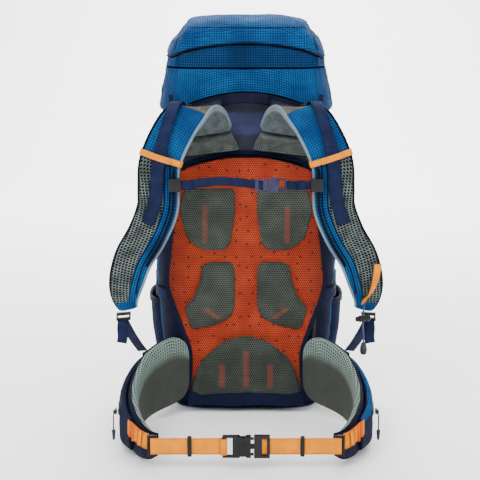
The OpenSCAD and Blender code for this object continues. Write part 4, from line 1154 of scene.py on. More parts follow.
front_ranks = np.concatenate([np.linspace(FRONT_LOW + 0.001, 0.10, 6), np.linspace(0.11, 0.395, 34),
                              np.linspace(0.399, FRONT_HIGH - 0.001, 5)])
front_rows = []
for z in front_ranks:
    ring = front_outline(z, -0.0008)
    share = (z - FRONT_LOW) / (FRONT_HIGH - FRONT_LOW)
    slump = np.array([0.0024 * crease(*q, 0.06, 2.4) * math.sin(math.pi * share) for q in ring])
    near_zip = np.exp(-((z - ZIP_Z) / 0.007) ** 2) * 0.0022 * (np.abs(ring[:, 0]) < ZIP_HALF)
    ring[:, 1] += np.where(ring[:, 1] > bag_front(z) + 0.002, slump - near_zip - 0.0006, 0)
    front_rows.append(ring)
loops = []
for ring in front_rows:
    back_side = ring[::-1].copy()
    back_side[:, 1] = np.minimum(back_side[:, 1], bag_front(ring[0, 2]) + 0.0006)
    loops.append(np.concatenate([ring, back_side[1:-1]]))
pocket_mesh = skin("front_pocket", np.array(loops), parts=lambda i, j: int(front_ranks[i] > ZIP_Z + 0.006))
finished("front_pocket_cloth", pocket_mesh, "pack", [NAVY_CLOTH, BLUE_RIPSTOP], ["front_pocket"])

# ---------------------------------------------------------------- zips
# Coil zips: two woven tapes meet at a line of teeth. One runs up the bag's right side,
# one crosses the front pocket, and one crosses the lid.
TAPE = plain_cloth("zip_tape", "0F1118", "20232E", 0.0008, 0.7)
TEETH = moulded("zip_teeth", "1B1C21", "3C3D44", 0.35)
metal = Finish("zip_metal", rough=0.32, metal=1.0, own_map=False)
scratch = metal.cloud(0.0016, 4, stretch=(1, 1, 4))
METAL = metal.done(metal.blend(scratch, "3A3B40", "8B8D93"), scratch, 0.00005)


def along_path_tree(name):
    """Geometry Nodes: copies of a small block set along a path, turned to follow it."""
    tree = bpy.data.node_groups.new(name, "GeometryNodeTree")
    face = tree.interface
    face.new_socket("Geometry", in_out="INPUT", socket_type="NodeSocketGeometry")
    for title, value in (("Pitch", 0.002), ("Long", 0.001), ("Wide", 0.003), ("High", 0.001)):
        face.new_socket(title, in_out="INPUT", socket_type="NodeSocketFloat").default_value = value
    face.new_socket("Finish", in_out="INPUT", socket_type="NodeSocketMaterial")
    face.new_socket("Geometry", in_out="OUTPUT", socket_type="NodeSocketGeometry")
    new = tree.nodes.new
    link = tree.links.new
    given, out = new("NodeGroupInput"), new("NodeGroupOutput")
    curve = new("GeometryNodeMeshToCurve")
    spaced = new("GeometryNodeResampleCurve")
    spaced.mode = "LENGTH"
    up = new("GeometryNodeInputNamedAttribute")
    up.data_type = "FLOAT_VECTOR"
    up.inputs["Name"].default_value = "up"
    tangent = new("GeometryNodeInputTangent")
    first = new("FunctionNodeAlignEulerToVector")
    first.axis = "X"
    second = new("FunctionNodeAlignEulerToVector")
    second.axis, second.pivot_axis = "Z", "X"
    block = new("GeometryNodeMeshCube")
    size = new("ShaderNodeCombineXYZ")
    copies = new("GeometryNodeInstanceOnPoints")
    real = new("GeometryNodeRealizeInstances")
    paint = new("GeometryNodeSetMaterial")
    link(given.outputs["Geometry"], curve.inputs["Mesh"])
    link(curve.outputs["Curve"], spaced.inputs["Curve"])
    link(given.outputs["Pitch"], spaced.inputs["Length"])
    for title, axis in (("Long", "X"), ("Wide", "Y"), ("High", "Z")):
        link(given.outputs[title], size.inputs[axis])
    link(size.outputs[0], block.inputs["Size"])
    link(tangent.outputs[0], first.inputs["Vector"])
    link(first.outputs[0], second.inputs["Rotation"])
    link(up.outputs["Attribute"], second.inputs["Vector"])
    link(spaced.outputs[0], copies.inputs["Points"])
    link(block.outputs["Mesh"], copies.inputs["Instance"])
    link(second.outputs[0], copies.inputs["Rotation"])
    link(copies.outputs[0], real.inputs[0])
    link(real.outputs[0], paint.inputs["Geometry"])
    link(given.outputs["Finish"], paint.inputs["Material"])
    link(paint.outputs[0], out.inputs[0])
    return tree


BEADS = along_path_tree("beads_along_path")


def row_of_blocks(name, paths, body, finish, pitch, size):
    """paths lists (points, up direction for each point); gives one mesh of small blocks."""
    verts, edges, ups = [], [], []
    for line, up in paths:
        start = len(verts)
        line = np.asarray(line, float)[:, :3]
        verts += line.tolist()
        ups += np.broadcast_to(np.asarray(up, float), line.shape).tolist()
        edges += [(start + k, start + k + 1) for k in range(len(line) - 1)]
    guide_mesh = bpy.data.meshes.new(name)
    guide_mesh.from_pydata(verts, edges, [])
    layer = guide_mesh.attributes.new("up", "FLOAT_VECTOR", "POINT")
    layer.data.foreach_set("vector", np.array(ups, np.float32).ravel())
    guide = bpy.data.objects.new(name + "_guide", guide_mesh)
    bpy.context.scene.collection.objects.link(guide)
    maker = guide.modifiers.new("blocks", "NODES")
    maker.node_group = BEADS
    wanted = {"Pitch": pitch, "Long": size[0], "Wide": size[1], "High": size[2], "Finish": finish}
    for item in BEADS.interface.items_tree:
        if item.in_out == "INPUT" and item.name in wanted:
            maker[item.identifier] = wanted[item.name]
    view = bpy.context.evaluated_depsgraph_get()
    made = bpy.data.meshes.new_from_object(guide.evaluated_get(view))
    bpy.data.objects.remove(guide)
    made.name = name
    obj = bpy.data.objects.new(name, made)
    bpy.context.scene.collection.objects.link(obj)
    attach(obj, body)
    return obj


def zip_run(name, path, outward, width, body, nodes):
    """Tape and teeth along a path; outward is the way the zip faces at each point."""
    path = np.asarray(path, float)
    outward = np.broadcast_to(np.asarray(outward, float), path.shape)
    across = np.cross(headings(path), outward)
    band(f"{name}_tape", body, TAPE, path - outward * 0.0004, width, 0.0012, across, nodes=nodes)
    row_of_blocks(f"{name}_teeth", [(path + outward * 0.0006, outward)], body, TEETH, 0.0021,
                  (0.0012, 0.0052, 0.0012))
    coil = skin("coil", flat_rows(path + outward * 0.0002, 0.0022, 0.0008, across))
    finished(f"{name}_coil", coil, body, [TEETH])


side_zip = np.array([bag_point(z, -57, 0.0026) for z in np.linspace(0.11, 0.43, 60)])
zip_out = unit(np.cross(unit(bag_point(0.2, -54) - bag_point(0.2, -60)), UP))
zip_run("side_zip", side_zip, zip_out, 0.0105, "pack", ["zip_tracks"])
FRONT_ZIP_Y = float(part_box("front_zip_slider")[0][1]) - 0.0012
zip_run("front_zip", [(x, FRONT_ZIP_Y, ZIP_Z) for x in np.linspace(-ZIP_HALF, ZIP_HALF, 40)], (0, 1, 0), 0.008,
        "pack", [])
casting("front_zip_pull", "front_zip_slider", "front_slider", 0.0005, 2, METAL)

# ---------------------------------------------------------------- webbing on the bag
# Two compression straps cross each side. The lid's rear straps come down beside the
# yoke, and the lower halves of its front straps rise from the front pocket's top.
LID_STRAP_X = 0.072
flat_pieces = []
for sign, side, flip in sides:
    for level, z in (("low", 0.216), ("high", 0.432)):
        line = np.array([bag_point(z, a, 0.0019) for a in np.linspace(-46, 54, 60)]) * flip
        flat_pieces.append((f"compression_{level}_{side}", line, 0.020, UP))
    drop = np.array([(sign * 0.133, BACK - 0.0152, z) for z in np.linspace(0.552, 0.586, 12)])
    flat_pieces.append((f"lid_rear_strap_{side}", drop, 0.008, SIDEWAYS))
    lower = np.array([(sign * LID_STRAP_X, 0.1157 + (bag_front(0.41) + 0.003 - 0.1157) * f ** 0.6,
                       0.4846 - 0.0686 * f)
                      for f in np.linspace(0, 1, 24)])
    flat_pieces.append((f"lid_front_strap_lower_{side}", lower, 0.020, SIDEWAYS))
for k, (name, line, width, across) in enumerate(flat_pieces):
    band(name, "pack", NAVY_WEB, line, width, across=across,
         nodes=["bag_webbing"] if k == 0 else [])
for name, node, body in (("lid_buckle_sockets", "lid_buckle_bases", "pack"),
                         ("lid_buckle_snaps", "lid_buckle_caps", "lid")):
    casting(name, node, body, 0.001)
tabs = casting("strap_anchor_tabs", "strap_tabs", "pack", 0.0008, 2, NAVY_CLOTH)
repaint(tabs, plain_cloth("tab_cloth", "080D20", "151E3E", 0.0014, 0.7, own_map=False))

# ---------------------------------------------------------------- lid
# The lid is a zipped pocket over a hanging skirt, in blue ripstop with plain blue ends.
# Its rear flap is sewn to the pack, and the lid folds back along the top of that flap.
LID_FLOOR, LID_TOP = 0.650, 0.724
HINGE_Y = -0.1287
LID_FRONT = bag_front(RIM) + 0.016
LID_MID, LID_REACH = (LID_FRONT + HINGE_Y) / 2, (LID_FRONT - HINGE_Y) / 2


def lid_half(z):
    return bag_half(RIM) + 0.008 - max(z - 0.570, 0) * 0.06


def lid_split(x):
    return LID_FLOOR + 0.025 * (1 - min((x / bag_half(RIM)) ** 2, 1))


LID_ROUND = 160                     # points round the lid pocket


def lid_ring(half, off, count=LID_ROUND):
    """Even points round the lid, from the middle of the rear edge."""
    fine = []
    for a in np.linspace(-90, 270, 1441):
        c, s = math.cos(math.radians(a)), math.sin(math.radians(a))
        fine.append(((half + off) * power(c, 0.5), LID_MID + (LID_REACH + off) * power(s, 0.5)))
    fine = np.array(fine)
    run = np.insert(np.linalg.norm(np.diff(fine, axis=0), axis=1).cumsum(), 0, 0)
    want = np.linspace(0, run[-1], count, endpoint=False)
    return np.stack([np.interp(want, run, fine[:, k]) for k in range(2)], 1)


def drawn_in(row):
    """The cloth is drawn in towards the crown: both ends lean inwards with height."""
    x, z = row[:, 0], row[:, 2]
    lean = 0.013 * np.clip((z - 0.56) / 0.09, 0, 1) + 0.012 * np.clip((z - 0.65) / 0.07, 0, 1)
    share = np.clip((np.abs(x) - 0.097) / 0.05, 0, 1)
    out = row.copy()
    out[:, 0] -= np.sign(x) * lean * share * share * (3 - 2 * share)
    return out


def lid_hollow(tier, half, off, count=LID_ROUND):
    """One level of the lid pocket, from its floor at 0 to its crown near 1."""
    s = (1 - tier ** 2.6) ** (1 / 2.6)
    flat = lid_ring(half, off - 0.002 * tier, count)
    x = flat[:, 0] * s
    y = LID_MID + (flat[:, 1] - LID_MID) * (0.2 + 0.8 * s)
    low = np.array([lid_split(v) for v in x])
    return drawn_in(np.column_stack([x, y, low + (LID_TOP - low) * tier]))


SEAM_X = 0.128


PLAIN_BLUE = plain_cloth("plain_blue_cloth", "0A2C54", "124672", 0.0012, 0.6)
tiers = np.concatenate([[0, 0.02, 0.05], np.linspace(0.09, 0.9, 26), [0.93, 0.955, 0.975, 0.988]])
pocket_rows = []
for tier in tiers:
    row = lid_hollow(tier, lid_half(LID_FLOOR), 0.0026)
    middle = np.array([0, LID_MID, 0.660])
    out = unit(row - middle)
    slump = np.array([crease(*q, 0.075, 4.4) + 0.6 * crease(*q, 0.03, 7.7) + 0.3 * crease(*q, 0.014, 1.3)
                      for q in row])
    calm = min(1, tier / 0.06 + 0.15)
    seam = 0.0016 * np.exp(-((np.abs(row[:, 0]) - SEAM_X) / 0.0028) ** 2)
    tuck = 0.0030 * math.exp(-(tier / 0.05) ** 2)
    near_seam = np.exp(-((np.abs(row[:, 0]) - SEAM_X + 0.012) / 0.026) ** 2)
    pulls = np.array([crease(q[0] * 0.6, q[1], q[2] * 0.5, 0.017, 9.9) for q in row]) * near_seam
    lift = 0.0036 * calm * slump + 0.0021 * calm * pulls - seam - tuck - 0.0010
    pocket_rows.append(row + out * lift[:, None])
floor_rows = []
for s in (0.02, 0.5, 0.9, 0.985):
    row = lid_hollow(0.0, lid_half(LID_FLOOR), 0.0)
    row[:, :2] = np.array([0, LID_MID]) + (row[:, :2] - np.array([0, LID_MID])) * s
    row[:, 2] = [lid_split(v) for v in row[:, 0]]
    floor_rows.append(row)
all_rows = np.array(floor_rows + pocket_rows)


def lid_kind(i, j):
    """0 ripstop, 1 plain blue ends, 2 navy floor."""
    if i < len(floor_rows) - 1:
        return 2
    return 1 if abs(all_rows[i, j % LID_ROUND, 0]) > SEAM_X else 0


lid_mesh = skin("lid_pocket_cloth", all_rows, parts=lid_kind)
# The crown's cloth is one flat cut, so its weave runs straight across it.
crown = lid_mesh.uv_layers["weave"].data
points_at = np.array([v.co for v in lid_mesh.vertices])
for face in lid_mesh.polygons:
    centre = np.mean([points_at[k] for k in face.vertices], axis=0)
    if centre[2] > 0.655 and face.normal.z > 0.5:
        for k, vertex in zip(face.loop_indices, face.vertices):
            crown[k].uv = points_at[vertex][:2]
    elif abs(face.normal.y) > abs(face.normal.x):
        for k, vertex in zip(face.loop_indices, face.vertices):
            crown[k].uv = (points_at[vertex][2], points_at[vertex][0])
finished("lid_pocket_cloth", lid_mesh, "lid", [BLUE_RIPSTOP, PLAIN_BLUE, NAVY_CLOTH], ["lid_pocket"])


def skirt_edge(y):
    return 0.548 + 0.044 * (y - HINGE_Y) / (LID_FRONT - HINGE_Y)


def hanging_cloth(name, wanted, low, high, body, nodes, shares=22, seed=0.0):
    """A hanging wall of the lid: closed strip between two heights over the chosen part of its outline."""
    flat = lid_ring(lid_half(0.57), 0.0, 288)
    idx = [k for k in range(len(flat)) if wanted(*flat[k])]
    cut = max(range(len(idx) - 1), key=lambda k: idx[k + 1] - idx[k], default=0)
    whole = len(idx) == len(flat)
    if not whole and idx[cut + 1] - idx[cut] > 1:
        idx = idx[cut + 1:] + idx[:cut + 1]
    columns = []
    for k in idx:
        x0, y0 = flat[k]
        z0, z1 = low(x0, y0), high(x0, y0)
        front, rear = [], []
        for s in np.linspace(0, 1, shares):
            z = z0 + (z1 - z0) * s
            share = lid_half(z) / lid_half(0.57)
            p = np.array([x0 * share, y0, z])
            away = y0 - LID_MID
            out = unit(np.array([x0 / 0.16 ** 2 * abs(x0 / 0.16) ** 2,
                                 away / LID_REACH ** 2 * abs(away / LID_REACH) ** 2, 0]))
            reach = math.sin(math.pi * (0.12 + 0.76 * s))
            fold = 0.0026 * (crease(*p, 0.05, seed) + 0.5 * crease(*p, 0.022, seed + 4)) * reach
            seam = 0.0012 * math.exp(-((abs(p[0]) - SEAM_X) / 0.0026) ** 2)
            corner = min(max((abs(x0) - 0.07) / 0.06, 0.15), 1)
            pleat = math.sin(k * 1.25 + 2 * math.sin(k * 0.31))
            fold += 0.0011 * corner * pleat * math.exp(-((z1 - z) / 0.02) ** 2)
            front.append(p + out * (fold - seam - 0.0012))
            rear.append(p + out * (fold - seam - 0.0030))
        columns.append(drawn_in(np.array(front + rear[::-1])))
    rows = np.array(columns)
    mesh = skin(name, np.concatenate([rows, rows[:1]]) if whole else rows, caps=not whole,
                parts=lambda i, j: 1 if abs(rows[i % len(rows), 0, 0]) > SEAM_X else 0)
    # The lid's skirt takes the darker ripstop as painted shade under the pocket; the flap on the pack keeps the
    # blue ripstop.
    cloth = BLUE_RIPSTOP if body == "pack" else SHADED_RIPSTOP
    return finished(name, mesh, body, [cloth, PLAIN_BLUE], nodes)


hanging_cloth("lid_skirt_cloth", lambda x, y: True,
              lambda x, y: max(skirt_edge(y), 0.6335) if y < -0.069 else skirt_edge(y),
              lambda x, y: lid_split(x) - 0.0022, "lid", ["lid_skirt"], 26, 2.2)
hanging_cloth("lid_rear_flap", lambda x, y: y < -0.0705,
              lambda x, y: max(skirt_edge(y), yoke_top(x) + 0.003 if abs(x) < YOKE_HALF else 0),
              lambda x, y: 0.6303, "pack", ["lid_flap"], 26, 5.0)
flap_mesh = bpy.data.objects["lid_rear_flap"].data
lid_flap_shape = BVHTree.FromPolygons([v.co for v in flap_mesh.vertices],
                                      [tuple(p.vertices) for p in flap_mesh.polygons])

PIPING = plain_cloth("dark_piping", "03050C", "0A1022", 0.0009, 0.55)


def closed_cord(name, body, ring, radius, around):
    """Piping that runs round to meet its own start; the ring's first two points are repeated at its end."""
    rows = round_rows(ring, radius, around, UP)[:-1]
    rows[-1] = rows[0]
    finished(name, skin(name, rows, caps=False), body, [PIPING])


# Dark piping round the pocket's lower edge, where it overhangs the skirt: partly real piping, and partly
# painted shadow under the overhang.
edge_ring = lid_hollow(0.0, lid_half(LID_FLOOR), 0.0008, 200)
edge_ring[:, 2] += 0.0004
closed_cord("lid_edge_piping_and_shadow", "lid", np.concatenate([edge_ring, edge_ring[:2]]), 0.0016, 10)
lid_shape = BVHTree.FromPolygons([v.co for v in lid_mesh.vertices],
                                 [tuple(p.vertices) for p in lid_mesh.polygons])
for sign, side, _ in sides:
    hits = []
    for f in np.linspace(0, 1, 220):
        a = math.pi * f
        aim = Vector((sign * (SEAM_X - 0.016 * math.sin(a)), LID_MID, LID_FLOOR + 0.012 + 0.012 * math.sin(a)))
        far = aim + Vector((0, -math.cos(a), math.sin(a) * 0.45)) * 0.5
        hit = lid_shape.ray_cast(far, aim - far)[0]
        if hit:
            hits.append(hit)
    line = np.array(hits)
    for _ in range(4):
        line[1:-1] = 0.5 * line[1:-1] + 0.25 * (line[2:] + line[:-2])
    line = resample(line, 120, closed=False)
    round_cord(f"lid_end_seam_{side}", "lid", PIPING, line, 0.0012, 8)
crown_ring = []
for a in np.linspace(0, math.tau, 241)[:-1]:
    far = Vector((math.cos(a) * 0.5, LID_MID + math.sin(a) * 0.5, 0.703))
    hit = lid_shape.ray_cast(far, Vector((0, LID_MID, 0.703)) - far)[0]
    if hit:
        crown_ring.append(hit)
crown_ring = resample(np.array(crown_ring), 200)
closed_cord("lid_crown_seam", "lid", np.concatenate([crown_ring, crown_ring[:2]]), 0.0009, 8)
lid_tape = [(x, float(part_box("lid_zip")[0][1]) + 0.0006, 0.672) for x in np.linspace(-0.095, 0.095, 50)]
zip_run("lid_zip", lid_tape, (0, 1, 0), 0.008, "lid", ["lid_zip"])
casting("lid_zip_pull", "lid_zip_slider", "lid_slider", 0.0005, 2, METAL)
for sign, side, _ in sides:
    strap = [(sign * LID_STRAP_X, LID_FRONT + 0.0104 + 0.0025 * (1 - f), 0.5354 + 0.1126 * f)
             for f in np.linspace(0, 1, 24)]
    band(f"lid_front_strap_{side}", "lid", NAVY_WEB, strap, 0.020, across=(1, 0, 0),
         nodes=paired(side, "lid_straps"))

# ---------------------------------------------------------------- shoulder straps
# Curved foam straps. The upper stretch is blue ripstop; below the orange band the face
# is open mesh beside a ripstop strip. Dark piping runs down the inner edge as a rail.
OPEN_MESH = woven_mesh("strap_open_mesh", "727E7C", "3A4440", "010202", 0.0056, 0.45, 0.40)
BODY_MESH = woven_mesh("strap_body_mesh", "5C6668", "3C4446", "121414", 0.0034, 0.0, 0.24)
GREY_TRIM = webbing("grey_trim", "4E5A5E", "7E8C8E", None, 0.0022)
STRAP_SIDES = 44


GUSSET_END, BAND_AT, TIP_AT = 13, 29, 66    # stations down the strap where its cloth changes


def strap_kind(i, j):
    """0 ripstop, 1 open mesh, 2 mesh against the body, 3 grey edge trim, 4 brown-grey gusset."""
    a = 2 * math.pi * (j + 1) / STRAP_SIDES
    c, s = power(math.cos(a), 0.42), math.sin(a)
    if s < -0.25:
        return 2
    if s <= 0.3:
        return 3
    if i < GUSSET_END:
        return 4
    if i < BAND_AT or i > TIP_AT:
        return 0
    return 0 if c < -0.30 else 1


GUSSET = woven_mesh("strap_gusset", "5C5A4E", "3A382F", "1A1915", 0.0040, 0.0, 0.18)
strap_rows = cushion_rows(strap_line, SIDEWAYS, 0.0006, STRAP_SIDES, 0.0010, 2.0)
for _, side, flip in sides:
    mesh = skin(f"shoulder_strap_{side}", strap_rows * flip, middle=STRAP_SIDES // 4, parts=strap_kind)
    strap = finished(f"shoulder_pad_{side}", mesh, "harness",
                     [BLUE_RIPSTOP, OPEN_MESH, BODY_MESH, GREY_TRIM, GUSSET],
                     [f"shoulder_strap_{side}"])
    smoothed(strap)


def beside(line, i, across, off):
    """Place beside a strap's centre: across its width, and off its outer face."""
    t = headings(line)[i]
    w = unit(SIDEWAYS - (SIDEWAYS @ t) * t)
    return line[i, :3] + across * w + off * np.cross(t, w)


# Rails and trims follow the strap; each is listed as (name, across, off the face, radius).
rail_index = range(30, 55)
rail_line = np.array([beside(strap_line, i, -0.026, strap_line[i, 4] / 2 + 0.006) for i in rail_index])
rail_foot = np.array([beside(strap_line, i, -0.026, strap_line[i, 4] / 2 + 0.0018) for i in rail_index])
second = np.array([beside(strap_line, i, -0.0195, strap_line[i, 4] / 2 + 0.0012) for i in range(29, 64)])
edge_cord = np.array([beside(strap_line, i, -(strap_line[i, 3] / 2 - 0.001), strap_line[i, 4] / 2 - 0.003)
                      for i in range(1, 72)])
outer_cord = np.array([beside(strap_line, i, strap_line[i, 3] / 2 - 0.001, strap_line[i, 4] / 2 - 0.003)
                       for i in range(1, 72)])
mesh_edge = np.array([beside(strap_line, i, -0.30 * strap_line[i, 3] / 2, strap_line[i, 4] / 2 + 0.0007)
                      for i in range(29, 67)])
for _, side, flip in sides:
    round_cord(f"strap_rail_{side}", "harness", PIPING, rail_line * flip, 0.0025, 12,
               nodes=paired(side, "strap_rails"))
    band(f"strap_rail_foot_{side}", "harness", PIPING, rail_foot * flip, 0.0022, 0.0060,
         SIDEWAYS)
    for name, line, radius, cloth in (("strap_piping", second, 0.0013, PIPING),
                                      ("strap_inner_edge", edge_cord, 0.0026, ROLLED_EDGE),
                                      ("strap_outer_edge", outer_cord, 0.0021, PIPING),
                                      ("strap_mesh_seam", mesh_edge, 0.0010, PIPING)):
        round_cord(f"{name}_{side}", "harness", cloth, line * flip, radius)

# ---------------------------------------------------------------- load lifters
# Navy webbing runs from the lock on the yoke over the top of each strap, under the orange
# band, and is sewn down to the strap's face with its doubled end hanging free.
LIFTER = points((112, -148.7, 565), (114, -158.7, 568), (120, -201.1, 579), (129, -235.1, 559),
                (141, -251.1, 518),
                (148, -255.1, 482), (152, -256.1, 450), (155, -256.1, 416), (168, -254.1, 376))
lifter_line = flow(LIFTER, 10)
lower_end = lifter_line[-38:]
for _, side, flip in sides:
    band(f"lifter_strap_{side}", "harness", NAVY_WEB, lifter_line * flip, 0.020,
         across=SIDEWAYS,
         nodes=paired(side, "lifter_webbing"))
    doubled = lower_end * flip + np.array([0, -0.0021, 0])
    band(f"lifter_end_{side}", "harness", NAVY_WEB, doubled, 0.0225, 0.0020, SIDEWAYS)
    tail = np.array([(0.112, -0.1420, 0.556), (0.1125, -0.1455, 0.5475), (0.113, -0.1470, 0.536),
                     (0.1128, -0.1462, 0.524)])
    band(f"lifter_tail_{side}", "pack", NAVY_WEB, flow(tail, 6) * flip, 0.020, across=SIDEWAYS)

# The orange band is a webbing loop round the strap that also holds the lifter down.
centre_at = 28
band_t = headings(strap_line)[centre_at]
band_w = unit(SIDEWAYS - (SIDEWAYS @ band_t) * band_t)
band_n = np.cross(band_t, band_w)
band_mid = strap_line[centre_at, :3]
over = lifter_line[np.argmin(abs((lifter_line - band_mid) @ band_t))]
over_x, over_n = (over - band_mid) @ band_w, (over - band_mid) @ band_n
loop = []
for a in np.linspace(0, 2 * math.pi, 97)[:-1]:
    x = power(math.cos(a), 0.3) * 0.0373
    n = power(math.sin(a), 0.45) * 0.0102
    if n > 0:
        n = max(n, (over_n + 0.0046) * math.exp(-(max(abs(x - over_x) - 0.0165, 0) / 0.005) ** 2))
    loop.append(band_mid + x * band_w + n * band_n)
loop = np.array(loop + loop[:2])
for _, side, flip in sides:
    rows = flat_rows(loop * flip, 0.011, 0.0018, band_t * flip)[:-1]
    rows[-1] = rows[0]
    finished(f"strap_band_{side}", skin("band", rows, caps=False), "harness", [ORANGE_WEB],
             paired(side, "orange_loops"))
    fold = [band_mid + x * band_w + 0.0122 * band_n for x in np.linspace(-0.034, -0.018, 8)]
    band(f"strap_band_fold_{side}", "harness", ORANGE_WEB, np.array(fold) * flip, 0.0108,
         across=band_t * flip)
holder = []
for k in np.linspace(56, 66, 26):
    f = (k - 56) / 10
    i = int(round(k))
    clear = strap_line[i, 4] / 2 + 0.0072 + 0.0040 * math.sin(math.pi * f)
    holder.append(beside(strap_line, i, 0.029 + (-0.008 - 0.029) * f, clear))
holder = flow(np.array(holder)[::5], 5)
band("pole_holder_loop", "harness", ORANGE_WEB, holder, 0.0145, across=(0.6, 0.2, 0.75))

# ---------------------------------------------------------------- lower strap webbing
# From the ladder lock at the strap's end a navy webbing runs down to a cloth tab on the
# bag. It belongs to the pack, and its top bends with the swinging harness.
low_end, high_end = points((192, -109, 110), (218, -192.1, 188))
for _, side, flip in sides:
    run = np.array([low_end + (high_end - low_end) * f + np.array([0, 0, -0.0035 * math.sin(math.pi * f)])
                    for f in np.linspace(0, 1, 24)])
    run[:, 0] = np.minimum(run[:, 0], 0.2215)
    made = skin("run", flat_rows(run * flip, 0.018, 0.0018, SIDEWAYS))
    strap = finished(f"strap_webbing_{side}", made, None, [NAVY_WEB], paired(side, "strap_webbing"))
    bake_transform(strap, "pack", "harness", start=tuple(low_end * flip), end=tuple(high_end * flip))
    tail = flow(points((219, -203, 190), (220, -208, 178), (219, -209, 164), (221, -208, 152)), 6)
    band(f"strap_tail_{side}", "harness", NAVY_WEB, tail * flip, 0.018, across=SIDEWAYS)

# ---------------------------------------------------------------- sternum strap
# Two hooked clips slide on the strap rails. A narrow navy webbing joins them through a
# small grey-violet side-release buckle, and its spare length is rolled beside it.
CHEST_Z = 0.443
chest_y = float(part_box("sternum_webbing")[0][1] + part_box("sternum_webbing")[1][1]) / 2
chest_end = float(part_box("sternum_webbing")[1][0])
VIOLET = moulded("violet_moulding", "18182A", "343450", 0.4)
casting("sternum_hook_clips", "sternum_clips", "sternum", 0.0012, 3)
casting("sternum_buckle_socket", "sternum_buckle_female", "sternum", 0.0008, 3, VIOLET)
casting("sternum_buckle_prongs", "sternum_buckle_male", "sternum", 0.0006, 2, VIOLET)
left_run = np.array([(x, chest_y,
                      CHEST_Z + 0.0065 * math.sin(math.pi * (x + chest_end) / (0.029 + chest_end)) ** 1.5)
                     for x in np.linspace(-chest_end + 0.0002, 0.029, 60)])
right_run = np.array([(x, chest_y, CHEST_Z) for x in np.linspace(0.069, chest_end - 0.0002, 24)])
for side, run, nodes in (("left", left_run, ["sternum_webbing"]), ("right", right_run, [])):
    band(f"sternum_strap_{side}", "sternum", NAVY_WEB, run, 0.015, nodes=nodes)
fold = np.array([(x, chest_y - 0.0021, CHEST_Z)
                 for x in np.linspace(-chest_end + 0.001, -chest_end + 0.020, 10)])
band("sternum_fold", "sternum", NAVY_WEB, fold, 0.0158)
roll = [(0.094 + (0.0042 + 0.0011 * a / math.tau) * math.cos(a),
         chest_y - 0.0075 + (0.0042 + 0.0011 * a / math.tau) * math.sin(a),
         CHEST_Z + 0.001) for a in np.linspace(0, 2.6 * math.tau, 60)]
band("sternum_spare_roll", "sternum", NAVY_WEB, roll, 0.0145, 0.0012)
lump = turned("whistle", (0.0475, chest_y - 0.0040, CHEST_Z + 0.0085),
              (0.0475, chest_y - 0.0040, CHEST_Z + 0.0155),
              [(0, 0.001), (0, 0.0028), (0.1, 0.0033), (0.6, 0.0033), (0.7, 0.0026), (0.8, 0.0030),
               (0.95, 0.0026), (1, 0.0006)], 20)
finished("sternum_whistle", lump, "sternum", [VIOLET])

# ---------------------------------------------------------------- hip fins
# Thick foam wings wrap forwards round the hips. Their inner face is waffle mesh, coarse
# and pale along the upper rim and fine below; the outside is navy nylon.
FIN = points((104, -148.1, 28), (140, -165.1, 22), (176, -205.1, 14), (192, -259.1, 7), (193, -319.1, 4),
             (180, -373.1, 4),
             (160, -413.1, 10), (143, -419.1, 20))
FIN_TOP = np.array([150, 148, 132, 108, 90, 74, 62, 56]) * MM
FIN_DEEP = np.array([12, 18, 18, 18, 18, 16, 13, 8]) * MM
fin_line = flow(np.column_stack([FIN, FIN_TOP, FIN_DEEP]), 8)


def fin_outwards(line):
    d = headings(np.column_stack([line[:, :2], np.zeros(len(line))]))
    return np.column_stack([-d[:, 1], d[:, 0], np.zeros(len(line))])


def fin_rows(line, off=0.0, deep=None, low=0.0, high=1.0, count=48, petal=True, puffed=0.0):
    """Rings of a plate on edge, from the middle of its outer face upwards and round."""
    n = fin_outwards(line)
    rows = []
    for i in range(len(line)):
        z0 = line[i, 2] + (line[i, 3] - line[i, 2]) * low
        z1 = line[i, 2] + (line[i, 3] - line[i, 2]) * high
        t = line[i, 4] if deep is None else deep[i]
        mid, half = (z0 + z1) / 2, (z1 - z0) / 2
        if petal:
            f = min(1.0, (i + 0.6) / 9)
            half *= (1 - (1 - f) ** 2.4) ** (1 / 2.4)
            t = t * (0.55 + 0.45 * f)
        base = np.array([line[i, 0], line[i, 1], 0]) + (off if np.isscalar(off) else off[i]) * n[i]
        ring = []
        for k in range(count):
            a = 2 * math.pi * k / count
            across = power(math.cos(a), 0.55) * t / 2
            tall = power(math.sin(a), 0.42) * half
            swell = puffed * (1 - (tall / max(half, 1e-6)) ** 2)
            ring.append(base + (across + math.copysign(swell, across)) * n[i] + np.array([0, 0, mid + tall]))
        rows.append(ring)
    return np.array(rows)


def waffle():
    """Waffle mesh: coarse pale squares along the rim, and fine dark ribs in the middle."""
    f = Finish("hip_waffle_mesh", rough=0.85, sheen=0.05, gloss=0.15)
    u, v = f.axes()[:2]
    along, across = f.share()[:2]
    coarse = f.math("MAXIMUM", f.lines(u, 0.0056, 0.0014, 0.0009), f.lines(v, 0.0056, 0.0014, 0.0009))
    fine = f.math("MAXIMUM", f.lines(u, 0.0024, 0.0007, 0.0005), f.lines(v, 0.0032, 0.0006, 0.0005))
    edge = f.plus(across, f.times(f.minus(f.cloud(0.05, 2), 0.5), 0.08))
    rim = f.ramp(edge, 0.70, 0.86, 1, 0)
    front = f.ramp(along, 0.62, 0.72)
    rim = f.math("MAXIMUM", rim, front)
    pattern = f.blend(rim, fine, coarse)
    dark = f.blend(rim, "1C1F1A", "18211D")
    pale = f.blend(rim, "464A43", "7C8F87")
    tone = f.plus(f.times(pattern, 0.8), f.times(f.ramp(f.cloud(0.02, 4), 0.3, 0.8), 0.12))
    return f.done(f.blend(tone, dark, pale), pattern, 0.0012)


WAFFLE = waffle()
FIN_SIDES = 48


def fin_kind(i, j):
    """0 navy outside, 1 waffle inside."""
    return 1 if 11 <= j % FIN_SIDES < 37 else 0


